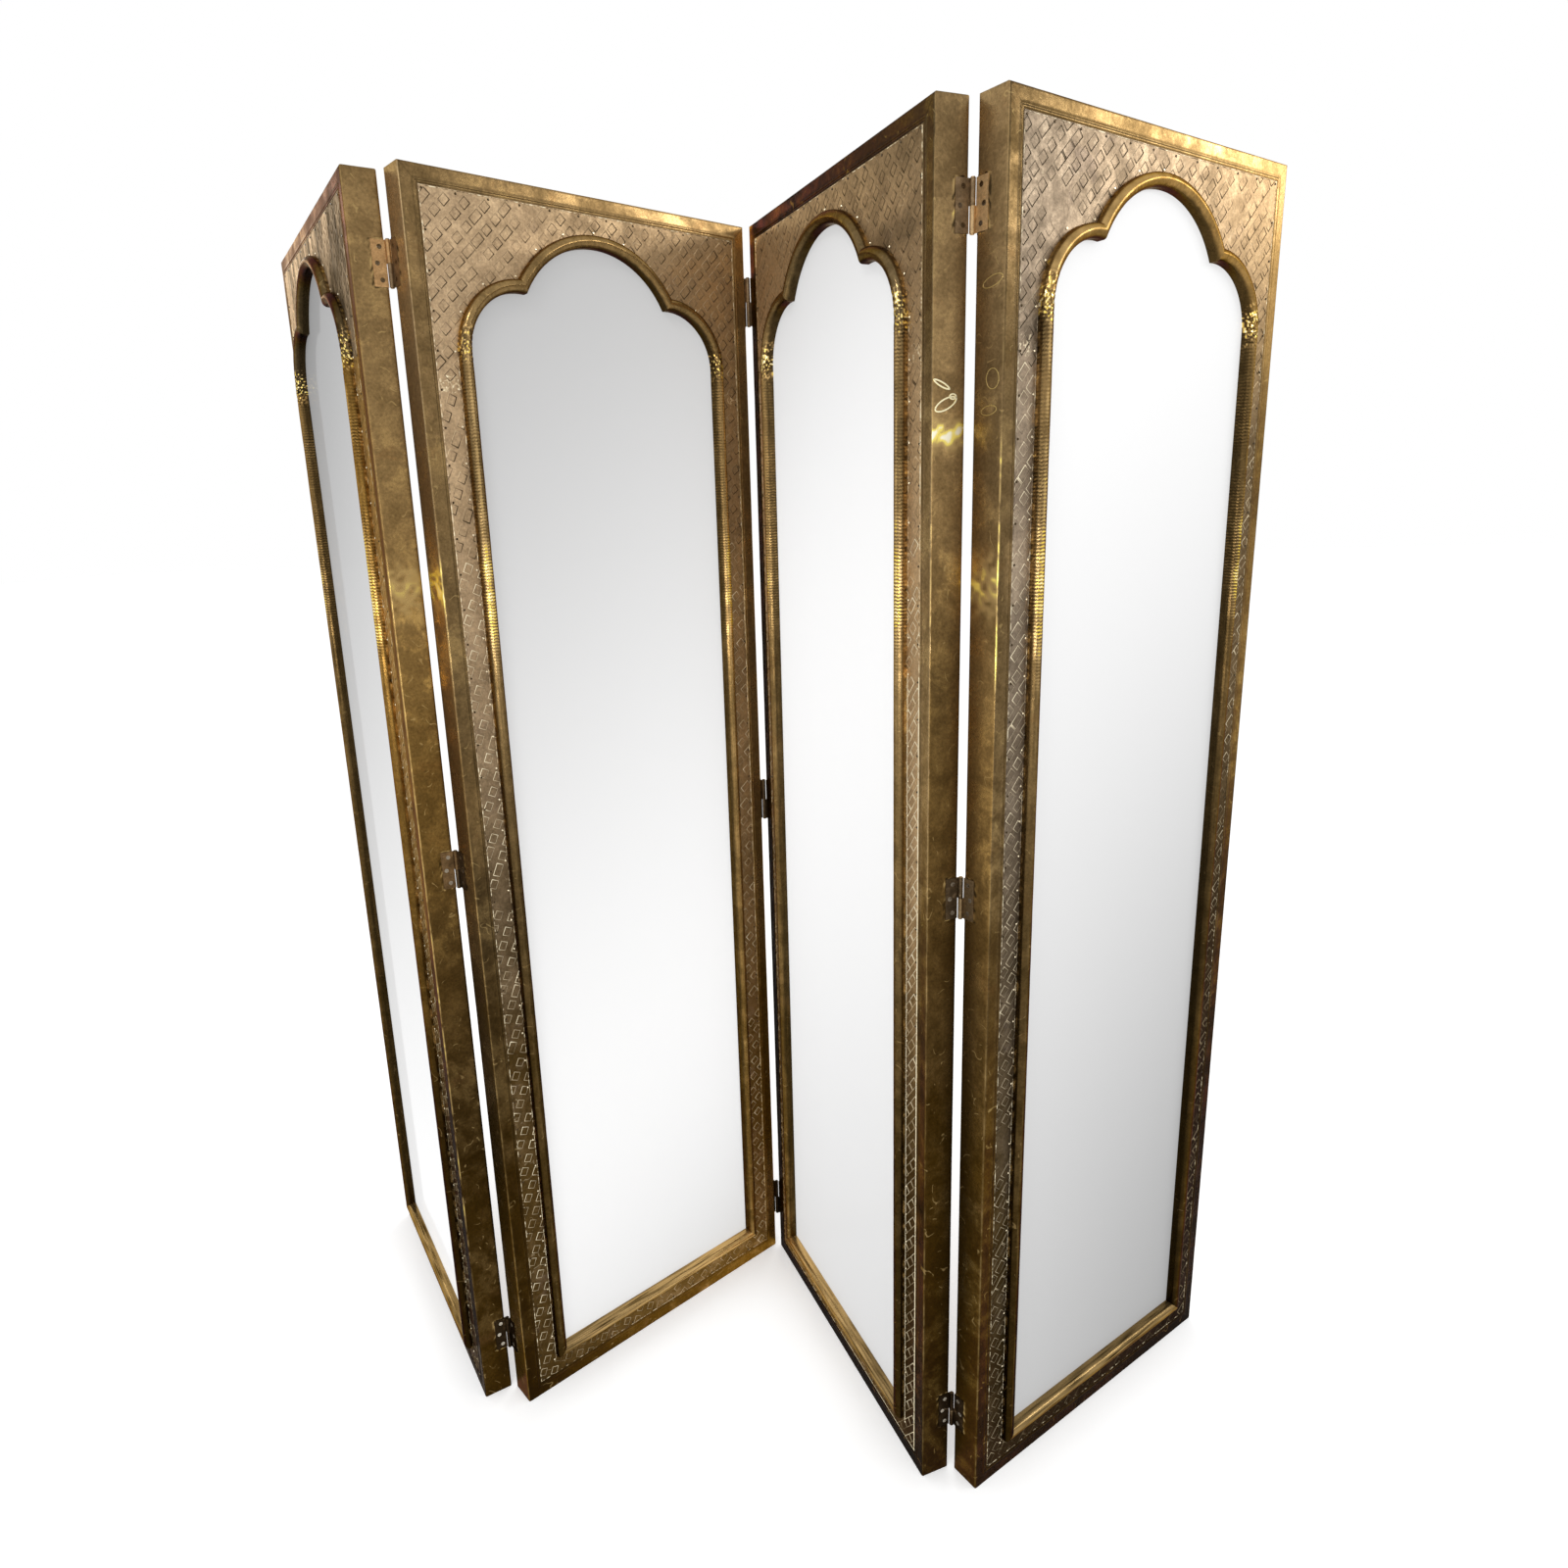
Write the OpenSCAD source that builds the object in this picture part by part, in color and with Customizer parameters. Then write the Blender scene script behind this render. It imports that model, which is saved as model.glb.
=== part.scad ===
/* [Panel] */
// Width of one panel
panel_w = 587; // [560:1:640]
// Height of one panel
panel_h = 1980; // [1500:1:2300]
// Thickness of one panel over its sheet metal
panel_t = 48; // [38:1:70]
// Rounding of the upright edges and the top edges
edge_r = 2.5; // [1.5:0.1:4]
// Width of the smooth border on the face
border_w = 25; // [15:1:32]

/* [Sheet metal] */
// Thickness of the smooth sheet round the edges
sheet_t = 0.8; // [0.5:0.1:1.2]
// Thickness of the embossed sheet on the face
field_t = 0.6; // [0.4:0.1:0.8]
// Width of the smooth sheet where it is turned on to the back
back_turn_w = 14; // [8:1:24]

/* [Moulding] */
// Distance of the moulding from the sides and the foot of the panel
bead_inset = 60; // [50:1:75]
// Distance of the moulding from the top of the panel at the crown of the arch
crown_inset = 54; // [48:1:75]
// Width of the half-round moulding
bead_w = 18; // [14:1:22]
// Height of the moulding above the embossed sheet
bead_h = 13.5; // [11:0.5:18]
// Thickness of the moulding's leg that lines the opening
bead_leg_t = 1.8; // [1:0.1:3]
// Radius of the middle lobe of the arch, at the glass
crown_r = 138; // [128:1:150]
// Radius of the shoulder lobes, at the glass
shoulder_r = 85; // [75:1:92]
// Distance of the springing line of the arch from the top of the panel
spring_drop = 231; // [220:1:245]

/* [Mirror and back] */
// Thickness of the mirror glass
mirror_t = 4; // [3:0.5:6]
// Thickness of the back board
board_t = 6; // [3:0.5:9]
// Thickness of the wooden lip in front of the glass
lip_t = 4.4; // [3:0.2:8]
// Width of the rebate that holds the edge of the glass
rebate_w = 10; // [6:1:14]

/* [Brass pins] */
// Distance from one pin to the next
pin_pitch = 50; // [30:1:90]
// Distance of the pins from the edges of the embossed sheet
pin_edge = 4.5; // [3:0.5:7]
// Radius of a pin's head
pin_head_r = 1.6; // [1.2:0.1:2.4]
// Height of a pin's head
pin_head_h = 0.8; // [0.5:0.1:1.2]
// Radius of a pin's shank
pin_shank_r = 0.7; // [0.5:0.1:0.9]
// Gap between the tip of a pin in the face and the glass
pin_tip_gap = 0.4; // [0.2:0.1:1]
// Length of the pins that hold the back board
board_pin_l = 12; // [8:0.5:20]
// Length by which they stand out of the wood
board_pin_out = 3; // [2:0.5:5]
// Number of them on each side of a panel
board_pin_count = 6; // [3:1:10]

/* [Hinges] */
// Height of the hinges of the two outer joints
outer_hinge_h = 60; // [50:1:90]
// Height of the hinges of the middle joint
middle_hinge_h = 75; // [50:1:90]
// Distance of the end hinges' centres from the top and the foot
hinge_end = 117; // [80:1:220]
// Width of a leaf on the edge of the panel
leaf_w = 19; // [17:0.5:26]
// Thickness of a leaf
leaf_t = 1.6; // [1.2:0.1:2]
// Outer radius of a knuckle
barrel_r = 3.5; // [3.1:0.1:4]
// Distance of the hinge pin's axis from the face that it stands at
barrel_out = 3.5; // [3.2:0.1:5]
// Radius of a hinge pin's head
hinge_pin_head_r = 2.6; // [2.3:0.1:3]
// Height of a hinge pin's head
hinge_pin_head_h = 1.2; // [0.8:0.1:2]

/* [Screws] */
// Radius of a screw's head
screw_head_r = 3.2; // [2.8:0.1:3.3]
// Radius of a screw's shank
screw_shank_r = 1.75; // [1.7:0.05:2]
// Length of a screw
screw_l = 18; // [12:1:25]
// Distance of the upper and lower screws from the panel's corner
screw_near = 8; // [6.5:0.1:9]
// Distance of the middle screw from the panel's corner
screw_far = 12.5; // [9.5:0.1:13]
// Distance of the upper and lower screws from the ends of the leaf
screw_end = 9; // [6:0.5:14]
// Width of the slots across a screw's head
slot_w = 0.9; // [0.6:0.1:1.2]
// Depth of the slots across a screw's head
slot_h = 0.7; // [0.4:0.1:1]

/* [Fits] */
// Radial clearance of a hinge pin in its knuckles
pin_fit = 0.05; // [0.02:0.01:0.1]
// Gap between the two knuckles of a hinge
knuckle_gap = 0.3; // [0.2:0.1:0.6]
// Gap round a leaf in the smooth sheet
leaf_fit = 0.3; // [0.2:0.1:0.6]
// Gap round the glass and the back board in their rebate
glass_fit = 0.75; // [0.3:0.05:0.9]
// Gap between the moulding's leg and the wooden opening
leg_fit = 0.2; // [0.1:0.1:0.5]
// Gap between the smooth border and the embossed sheet
sheet_fit = 0.2; // [0.1:0.1:0.5]
// Gap in the mitres between lengths of moulding and between lengths of sheet
mitre_gap = 0.2; // [0.1:0.05:0.5]
// Gap between the back board and its pins
board_fit = 0.2; // [0.1:0.1:0.5]
// Clearance of a screw in its leaf
screw_fit = 0.05; // [0.02:0.01:0.1]

/* [How it stands] */
// Angle between the backs of the first and second panels
open_12 = 80.6; // [10:0.1:170]
// Angle between the faces of the second and third panels
open_23 = 71; // [20:0.1:170]
// Angle between the backs of the third and fourth panels
open_34 = 76.7; // [10:0.1:170]

/* [Hidden] */
PANELS = [1, 2, 3, 4];
JOINTS = [1, 2, 3];
PANEL_NODES = [
    "stile_left", "stile_right", "head_rail", "foot_rail", "edge_cladding", "field_sheet",
    "arch_moulding", "straight_moulding", "mirror", "back_board", "brass_pins"
];

$fn = 96;
// Length by which a cut runs past the face that it opens
over = 1;

brass_smooth = "#8c7038";
brass_embossed = "#9a8460";
brass_moulding = "#a3823a";
brass_hinge = "#b08d4a";
steel_screw = "#c9c2ae";
dark_wood = "#4a3526";
plain_board = "#5b4634";
mirror_silver = "#d5dadd";

// Layers of a panel, counted from its face
field_y = sheet_t - field_t;
core_y = sheet_t;
glass_y = core_y + lip_t;
board_y = glass_y + mirror_t;
board_back_y = board_y + board_t;
core_back_y = panel_t - sheet_t;

// Openings of a panel
mid_x = panel_w / 2;
sight_inset = bead_inset + bead_w;
lip_cover = bead_leg_t + leg_fit;
lip_inset = sight_inset - lip_cover;
rebate_inset = lip_inset - rebate_w;
spring_z = panel_h - spring_drop;
crown_z = panel_h - crown_inset - bead_w - crown_r;
shoulder_x = mid_x - sight_inset - shoulder_r;
rebate_top_z = crown_z + crown_r + lip_cover + rebate_w;

// Half-round profile
bead_round_r = bead_w / 2;
bead_side_h = bead_h - bead_round_r;

// Height taken off both ends of the upright lengths to open their 45 degree mitres
mitre_step = mitre_gap * sqrt(2);

// Hinges
pin_out = barrel_r - sheet_t;
hinge_pin_r = barrel_r - leaf_t;
screw_cone_h = screw_head_r - screw_shank_r;
hinge_heights = [outer_hinge_h, middle_hinge_h, outer_hinge_h];
hinge_rows = [hinge_end, panel_h / 2, panel_h - hinge_end];

// Where the panels stand
turns = [180 - open_12, open_23 - 180, 180 - open_34];
raw_headings = [0, turns[0], turns[0] + turns[1], turns[0] + turns[1] + turns[2]];
mean_heading = (raw_headings[1] + raw_headings[2] + raw_headings[3]) / 4;
headings = [for (h = raw_headings) h - mean_heading];

function turned(p, a) = [p.x * cos(a) - p.y * sin(a), p.x * sin(a) + p.y * cos(a)];
function pin_y(j) = j == 2 ? -barrel_out : panel_t + barrel_out;
function right_pin(j) = [panel_w + pin_out, pin_y(j)];
function left_pin(j) = [-pin_out, pin_y(j)];
function stand(p) = p == 1
    ? [0, 0]
    : stand(p - 1) + turned(right_pin(p - 1), headings[p - 2]) - turned(left_pin(p - 1), headings[p - 1]);

// Round outlines that reach furthest on each panel: its corners, its mouldings and its knuckles
bead_centre_y = field_y - bead_side_h;
function rounds(p) = concat(
    [for (x = [edge_r, panel_w - edge_r]) for (y = [edge_r, panel_t - edge_r]) [x, y, edge_r]],
    [for (x = [bead_inset + bead_round_r, panel_w - bead_inset - bead_round_r])
        [x, bead_centre_y, bead_round_r]],
    p < 4 ? [[right_pin(p).x, right_pin(p).y, barrel_r]] : []
);
placed_rounds = [for (p = PANELS) for (c = rounds(p))
    let (q = stand(p) + turned([c.x, c.y], headings[p - 1])) [q.x, q.y, c.z]];
middle = [
    (min([for (c = placed_rounds) c.x - c.z]) + max([for (c = placed_rounds) c.x + c.z])) / 2,
    (min([for (c = placed_rounds) c.y - c.z]) + max([for (c = placed_rounds) c.y + c.z])) / 2
];

// Point above the line of centres where two circles cross
function crossing(a, ra, b, rb) =
    let (v = b - a, d = norm(v), along = (d * d + ra * ra - rb * rb) / (2 * d))
    a + along * v / d + sqrt(ra * ra - along * along) * [-v.y, v.x] / d;

// Cusp between the middle lobe and the right shoulder, at a distance outward from the glass opening
function cusp(outward) = crossing([0, crown_z], crown_r + outward, [shoulder_x, spring_z], shoulder_r + outward);

module on_panel(p) {
    translate([stand(p).x - middle.x, stand(p).y - middle.y, 0]) rotate(headings[p - 1]) children();
}

// Prism with its outline drawn as the panel is seen from the front
module front_prism(y_from, y_to) {
    translate([0, y_to, 0]) rotate([90, 0, 0]) linear_extrude(height = y_to - y_from) children();
}

module both_sides() {
    children();
    translate([panel_w, 0, 0]) mirror([1, 0, 0]) children();
}

// Section through an edge: the panel's outer edge lies along x = 0
module edge_section(inset, depth) {
    r = edge_r - inset;
    translate([inset + r, inset]) square([depth - inset - r, panel_t - 2 * inset]);
    translate([inset, inset + r]) square([depth - inset, panel_t - 2 * inset - 2 * r]);
    for (y = [inset + r, panel_t - inset - r]) translate([inset + r, y]) circle(r);
}

// Takes a section drawn for the left edge to the top edge, running along the panel
module along_top() {
    translate([0, 0, panel_h]) rotate([0, 90, 0]) children();
}

// Level section through the whole panel
module plan(inset) {
    intersection() {
        edge_section(inset, panel_w);
        translate([panel_w, 0]) mirror([1, 0]) edge_section(inset, panel_w);
    }
}

// Wooden body of the panel before it is divided into stiles and rails
module core() {
    intersection() {
        linear_extrude(height = panel_h) plan(sheet_t);
        along_top() linear_extrude(height = panel_w) edge_section(sheet_t, panel_h);
    }
}

// Opening in the face, drawn at a distance outward from the glass opening
module opening_outline(outward) {
    side = sight_inset - outward;
    translate([side, side]) square([panel_w - 2 * side, spring_z - side]);
    translate([mid_x, crown_z]) circle(crown_r + outward);
    for (s = [-1, 1]) translate([mid_x + s * shoulder_x, spring_z]) circle(shoulder_r + outward);
}

module stile() {
    intersection() {
        core();
        union() {
            cube([rebate_inset, panel_t, panel_h]);
            cube([lip_inset, glass_y, panel_h]);
        }
    }
}

module stile_left() {
    color(dark_wood) stile();
}

module stile_right() {
    color(dark_wood) translate([panel_w, 0, 0]) mirror([1, 0, 0]) stile();
}

module head_rail() {
    color(dark_wood) difference() {
        intersection() {
            core();
            union() {
                translate([rebate_inset, glass_y, rebate_top_z])
                    cube([panel_w - 2 * rebate_inset, panel_t, panel_h]);
                translate([lip_inset, 0, spring_z]) cube([panel_w - 2 * lip_inset, glass_y, panel_h]);
            }
        }
        front_prism(0, panel_t) opening_outline(lip_cover);
    }
}

module foot_rail() {
    color(dark_wood) intersection() {
        core();
        union() {
            translate([rebate_inset, glass_y, 0]) cube([panel_w - 2 * rebate_inset, panel_t, rebate_inset]);
            translate([lip_inset, 0, 0]) cube([panel_w - 2 * lip_inset, glass_y, lip_inset]);
        }
    }
}

// Smooth sheet folded round one edge, with its turn on to the back
module folded_sheet_section() {
    intersection() {
        difference() {
            edge_section(0, panel_w / 2);
            edge_section(sheet_t, panel_w);
        }
        union() {
            square([border_w, panel_t / 2]);
            translate([0, panel_t / 2]) square([back_turn_w, panel_t / 2]);
        }
    }
}

module side_sheet() {
    top = panel_h - mitre_step;
    intersection() {
        linear_extrude(height = panel_h) folded_sheet_section();
        front_prism(0, panel_t)
            polygon([[0, mitre_step], [mid_x, mid_x + mitre_step], [mid_x, top - mid_x], [0, top]]);
    }
}

module top_sheet() {
    intersection() {
        along_top() linear_extrude(height = panel_w) folded_sheet_section();
        front_prism(0, panel_t) polygon([[0, panel_h], [mid_x, panel_h - mid_x], [panel_w, panel_h]]);
    }
}

module foot_strip(width, y) {
    intersection() {
        linear_extrude(height = width) plan(0);
        front_prism(y, y + sheet_t)
            polygon([[0, 0], [width, width], [panel_w - width, width], [panel_w, 0]]);
    }
}

// The edges are clad in lengths mitred at the corners; the foot has a strip on each face
module edge_cladding(p) {
    color(brass_smooth) difference() {
        union() {
            both_sides() side_sheet();
            top_sheet();
            foot_strip(border_w, 0);
            foot_strip(back_turn_w, core_back_y);
        }
        if (p < 4) right_edge_hinge(p) leaf_windows(p);
        if (p > 1) left_edge_hinge(p - 1) leaf_windows(p - 1);
    }
}

module field_sheet() {
    edge = border_w + sheet_fit;
    color(brass_embossed) front_prism(field_y, core_y) difference() {
        translate([edge, edge]) square([panel_w - 2 * edge, panel_h - 2 * edge]);
        opening_outline(lip_cover);
    }
}

// Profile of the moulding: x inward from its outer foot, y outward from the sheet it stands on
module bead_profile() {
    intersection() {
        union() {
            square([bead_w, bead_side_h]);
            translate([bead_round_r, bead_side_h]) circle(bead_round_r);
        }
        square([bead_w, bead_w + bead_side_h]);
    }
    leg_h = glass_y - field_y;
    translate([bead_w - bead_leg_t, -leg_h]) square([bead_leg_t, leg_h + bead_side_h]);
}

// Ring of moulding round a lobe; the face of the panel lies along y = 0
module bead_ring(lobe_r) {
    rotate([90, 0, 0]) rotate_extrude($fn = 180) translate([lobe_r + bead_w, 0]) mirror([1, 0]) bead_profile();
}

// The three lengths meet in mitres that run through the cusps
module arch_moulding() {
    run = cusp(bead_w) - cusp(0);
    from = cusp(0) - run / 2;
    to = cusp(bead_w) + run / 2;
    step = mitre_gap * [run.y, -run.x] / norm(run);
    foot_z = spring_z + mitre_gap;
    color(brass_moulding) translate([mid_x, field_y, 0]) {
        intersection() {
            translate([0, 0, crown_z]) bead_ring(crown_r);
            front_prism(-panel_t, panel_t)
                polygon([from, to, [to.x, panel_h], [-to.x, panel_h], [-to.x, to.y], [-from.x, from.y]]);
        }
        for (s = [0, 1]) mirror([s, 0, 0]) intersection() {
            translate([shoulder_x, 0, spring_z]) bead_ring(shoulder_r);
            front_prism(-panel_t, panel_t)
                polygon([from + step, to + step, [mid_x, to.y], [mid_x, foot_z], [from.x, foot_z]]);
        }
    }
}

module straight_moulding() {
    color(brass_moulding) {
        both_sides() intersection() {
            translate([bead_inset, field_y, 0]) mirror([0, 1, 0])
                linear_extrude(height = spring_z) bead_profile();
            front_prism(-panel_t, panel_t)
                polygon([[0, mitre_step], [mid_x, mid_x + mitre_step], [mid_x, spring_z], [0, spring_z]]);
        }
        intersection() {
            translate([0, field_y, bead_inset]) rotate(a = 180, v = [1, 0, 1])
                linear_extrude(height = panel_w) bead_profile();
            front_prism(-panel_t, panel_t) polygon([[0, 0], [mid_x, mid_x], [panel_w, 0]]);
        }
    }
}

module pane(y, thickness) {
    translate([rebate_inset + glass_fit, y, rebate_inset])
        cube([panel_w - 2 * rebate_inset - 2 * glass_fit, thickness, rebate_top_z - rebate_inset - glass_fit]);
}

module mirror_glass() {
    color(mirror_silver) pane(glass_y, mirror_t);
}

module back_board() {
    color(plain_board) pane(board_y, board_t);
}

// Brass pin: its head stands on z = 0 and its shank points down
module brass_pin(shank_l) {
    cylinder(h = pin_head_h, r1 = pin_head_r, r2 = pin_head_r * 0.6, $fn = 24);
    translate([0, 0, -shank_l]) cylinder(h = shank_l, r = pin_shank_r, $fn = 16);
}

module face_pin(x, z) {
    translate([x, field_y, z]) rotate([90, 0, 0]) brass_pin(glass_y - field_y - pin_tip_gap);
}

// Even steps along a line or an arc of the given length, as shares of it from 0 to 1
function shares(length) = let (steps = max(round(length / pin_pitch), 2)) [for (i = [0:steps]) i / steps];
function row(from, to) = [for (s = shares(to - from)) from + s * (to - from)];
function arc_row(centre, r, from, to) = [for (s = shares(r * (to - from) * PI / 180))
    let (a = from + s * (to - from)) centre + r * [cos(a), sin(a)]];
function without_ends(list) = [for (i = [1:len(list) - 2]) list[i]];

// One row runs along the smooth border, another round the moulding, and the board's pins are at the back
module brass_pins() {
    outer = border_w + sheet_fit + pin_edge;
    inner = bead_inset - pin_edge;
    reach = bead_w + pin_edge;
    corner = cusp(reach);
    crown_from = atan2(corner.y - crown_z, corner.x);
    shoulder_to = atan2(corner.y - spring_z, corner.x - shoulder_x);
    crown_row = arc_row([0, crown_z], crown_r + reach, crown_from, 180 - crown_from);
    shoulder_row = arc_row([shoulder_x, spring_z], shoulder_r + reach, 0, shoulder_to);
    board_z = rebate_top_z - rebate_inset;
    color(brass_hinge) {
        for (z = row(outer, panel_h - outer)) both_sides() face_pin(outer, z);
        for (x = without_ends(row(outer, panel_w - outer)), z = [outer, panel_h - outer]) face_pin(x, z);
        for (z = row(inner, spring_z)) both_sides() face_pin(inner, z);
        for (x = without_ends(row(inner, panel_w - inner))) face_pin(x, inner);
        for (q = crown_row) face_pin(mid_x + q.x, q.y);
        for (q = without_ends(shoulder_row), s = [-1, 1]) face_pin(mid_x + s * q.x, q.y);
        for (i = [1:board_pin_count]) both_sides() translate([
            rebate_inset + board_pin_out,
            board_back_y + board_fit + pin_head_r,
            rebate_inset + board_z * i / (board_pin_count + 1)
        ]) rotate([0, 90, 0]) brass_pin(board_pin_l);
    }
}

// Hinges are drawn about their pin, with the leaf on the right-hand edge of a panel and the pin
// behind its back; the middle joint has them turned to the face
module right_edge_hinge(j) {
    translate([right_pin(j).x, right_pin(j).y, 0]) mirror([0, j == 2 ? 1 : 0, 0]) children();
}

module left_edge_hinge(j) {
    translate([left_pin(j).x, left_pin(j).y, 0]) mirror([1, 0, 0]) mirror([0, j == 2 ? 1 : 0, 0]) children();
}

module each_row() {
    for (z = hinge_rows) translate([0, 0, z]) children();
}

module leaf_windows(j) {
    h = hinge_heights[j - 1] + 2 * leaf_fit;
    depth = barrel_out + leaf_w + leaf_fit;
    each_row() translate([-barrel_r, -depth, -h / 2]) cube([leaf_t + over, depth + over, h]);
}

// Centres of a leaf's three screws, as seen on the edge of the panel
function screw_places(j) = let (rise = hinge_heights[j - 1] / 2 - screw_end) [
    [-barrel_out - screw_near, rise],
    [-barrel_out - screw_far, 0],
    [-barrel_out - screw_near, -rise]
];

module at_screws(j) {
    for (s = screw_places(j)) translate([leaf_t - barrel_r, s.x, s.y]) rotate([0, 90, 0]) children();
}

// Leaf with one knuckle, on the half of the hinge that side names: 1 above, -1 below
module leaf(j, side) {
    h = hinge_heights[j - 1];
    knuckle_h = (h - knuckle_gap) / 2;
    plate = barrel_out + leaf_w;
    clear_y = barrel_r + knuckle_gap;
    difference() {
        union() {
            translate([-barrel_r, -plate, -h / 2]) cube([leaf_t, plate - clear_y, h]);
            translate([0, 0, side > 0 ? knuckle_gap / 2 : -h / 2]) linear_extrude(height = knuckle_h) {
                translate([-barrel_r, -plate + leaf_t]) square([leaf_t, plate - leaf_t]);
                circle(barrel_r);
            }
        }
        cylinder(h = h + 2 * over, r = hinge_pin_r + pin_fit, center = true);
        at_screws(j) {
            translate([0, 0, -screw_cone_h])
                cylinder(h = screw_cone_h, r1 = screw_shank_r + screw_fit, r2 = screw_head_r + screw_fit);
            translate([0, 0, -leaf_t - over]) cylinder(h = leaf_t + over, r = screw_shank_r + screw_fit);
            cylinder(h = over, r = screw_head_r + screw_fit);
        }
    }
}

module hinge_pin(j) {
    h = hinge_heights[j - 1];
    cylinder(h = h, r = hinge_pin_r, center = true);
    for (s = [-1, 1]) translate([0, 0, s * (h + hinge_pin_head_h) / 2])
        cylinder(h = hinge_pin_head_h, r = hinge_pin_head_r, center = true);
}

// Countersunk screw with a crossed slot
module screw() {
    difference() {
        union() {
            translate([0, 0, -screw_cone_h]) cylinder(h = screw_cone_h, r1 = screw_shank_r, r2 = screw_head_r);
            translate([0, 0, -screw_l]) cylinder(h = screw_l - screw_cone_h, r = screw_shank_r);
        }
        for (a = [0, 90]) rotate(a) translate([-screw_head_r * 0.7, -slot_w / 2, -slot_h])
            cube([screw_head_r * 1.4, slot_w, slot_h + over]);
    }
}

module left_leaves(j) {
    color(brass_hinge) right_edge_hinge(j) each_row() leaf(j, 1);
}

module right_leaves(j) {
    color(brass_hinge) left_edge_hinge(j) each_row() leaf(j, -1);
}

module hinge_pins(j) {
    color(brass_hinge) right_edge_hinge(j) each_row() hinge_pin(j);
}

module left_screws(j) {
    color(steel_screw) right_edge_hinge(j) each_row() at_screws(j) screw();
}

module right_screws(j) {
    color(steel_screw) left_edge_hinge(j) each_row() at_screws(j) screw();
}

for (p = PANELS) {
    on_panel(p) stile_left();
    on_panel(p) stile_right();
    on_panel(p) head_rail();
    on_panel(p) foot_rail();
    on_panel(p) edge_cladding(p);
    on_panel(p) field_sheet();
    on_panel(p) arch_moulding();
    on_panel(p) straight_moulding();
    on_panel(p) mirror_glass();
    on_panel(p) back_board();
    on_panel(p) brass_pins();
}
for (j = JOINTS) {
    on_panel(j) left_leaves(j);
    on_panel(j + 1) right_leaves(j);
    on_panel(j) hinge_pins(j);
    on_panel(j) left_screws(j);
    on_panel(j + 1) right_screws(j);
}
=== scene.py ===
import itertools
import math
import bpy
import bmesh
from mathutils import Matrix, Vector, noise


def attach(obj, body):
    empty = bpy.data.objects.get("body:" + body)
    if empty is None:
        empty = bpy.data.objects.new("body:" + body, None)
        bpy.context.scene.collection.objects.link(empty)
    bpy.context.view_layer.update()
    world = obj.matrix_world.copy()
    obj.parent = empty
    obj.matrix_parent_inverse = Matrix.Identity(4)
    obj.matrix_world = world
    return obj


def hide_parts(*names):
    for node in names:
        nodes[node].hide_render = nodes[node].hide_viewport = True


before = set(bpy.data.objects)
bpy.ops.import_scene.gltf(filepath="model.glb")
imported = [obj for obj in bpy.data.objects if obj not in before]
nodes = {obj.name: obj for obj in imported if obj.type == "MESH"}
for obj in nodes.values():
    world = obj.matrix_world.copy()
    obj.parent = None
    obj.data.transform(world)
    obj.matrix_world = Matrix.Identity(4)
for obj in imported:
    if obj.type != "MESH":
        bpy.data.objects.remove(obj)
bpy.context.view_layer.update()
panelNumbers = [1, 2, 3, 4]
mm = 0.001


# Each panel has its own frame: x to the right, y to the back and z up, from its front lower left corner
def panelPlace(k):
    pane = sorted((v.co.copy() for v in nodes[f"mirror_{k}"].data.vertices), key=lambda point: point.x)
    half = len(pane) // 2
    run = sum(pane[half:], Vector()) / half - sum(pane[:half], Vector()) / half
    turn = Matrix.Rotation(math.atan2(run.y, run.x), 4, "Z")
    turnBack = turn.inverted()
    cladding = [turnBack @ v.co for v in nodes[f"edge_cladding_{k}"].data.vertices]
    return turn @ Matrix.Translation([min(point[axis] for point in cladding) for axis in range(3)])


def localBox(name, place):
    toPanel = place.inverted()
    points = [toPanel @ v.co for v in nodes[name].data.vertices]
    low = Vector([min(point[axis] for point in points) for axis in range(3)])
    high = Vector([max(point[axis] for point in points) for axis in range(3)])
    return low, high


places = {k: panelPlace(k) for k in panelNumbers}
wide, deep, tall = localBox("edge_cladding_1", places[1])[1]
fieldCorner = localBox("field_sheet_1", places[1])[0]
fieldEdge = fieldCorner.x
fieldFront = fieldCorner.y
mirrorFront = localBox("mirror_1", places[1])[0].y
beadLow, beadHigh = localBox("straight_moulding_1", places[1])
beadFoot = beadLow.x
springing = beadHigh.z
archTop = localBox("arch_moulding_1", places[1])[1].z
middle = wide / 2

arch = {"crownRadius": 138 * mm, "shoulderRadius": 85 * mm, "beadWide": 18 * mm}
sight = beadFoot + arch["beadWide"]  # distance of the glass opening from the panel's edge
crownZ = archTop - arch["crownRadius"] - arch["beadWide"]
shoulderX = middle - sight - arch["shoulderRadius"]
print("panels measured", round(wide / mm, 1), round(tall / mm, 1))


def insideOpening(x, z, outward):
    side = sight - outward
    if side < x < wide - side and side < z < springing:
        return True
    if math.hypot(x - middle, z - crownZ) < arch["crownRadius"] + outward:
        return True
    reach = arch["shoulderRadius"] + outward
    return math.hypot(abs(x - middle) - shoulderX, z - springing) < reach


# Where the middle lobe and the right shoulder cross, measured from the middle of the panel
def cusp(outward):
    crownR = arch["crownRadius"] + outward
    shoulderR = arch["shoulderRadius"] + outward
    between = Vector((shoulderX, springing - crownZ))
    distance = between.length
    along = (distance ** 2 + crownR ** 2 - shoulderR ** 2) / (2 * distance)
    rise = math.sqrt(crownR ** 2 - along ** 2)
    unit = between / distance
    return Vector((unit.x * along - unit.y * rise, crownZ + unit.y * along + unit.x * rise))


def ripple(x, y, z, size):
    return noise.noise(Vector((x, y, z)) / size)


def clamp(value, low=0.0, high=1.0):
    return min(max(value, low), high)


# 1 at the centre, fading to 0 on both sides of it
def bell(value, centre, reach):
    return math.exp(-((value - centre) / reach) ** 2)


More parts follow.
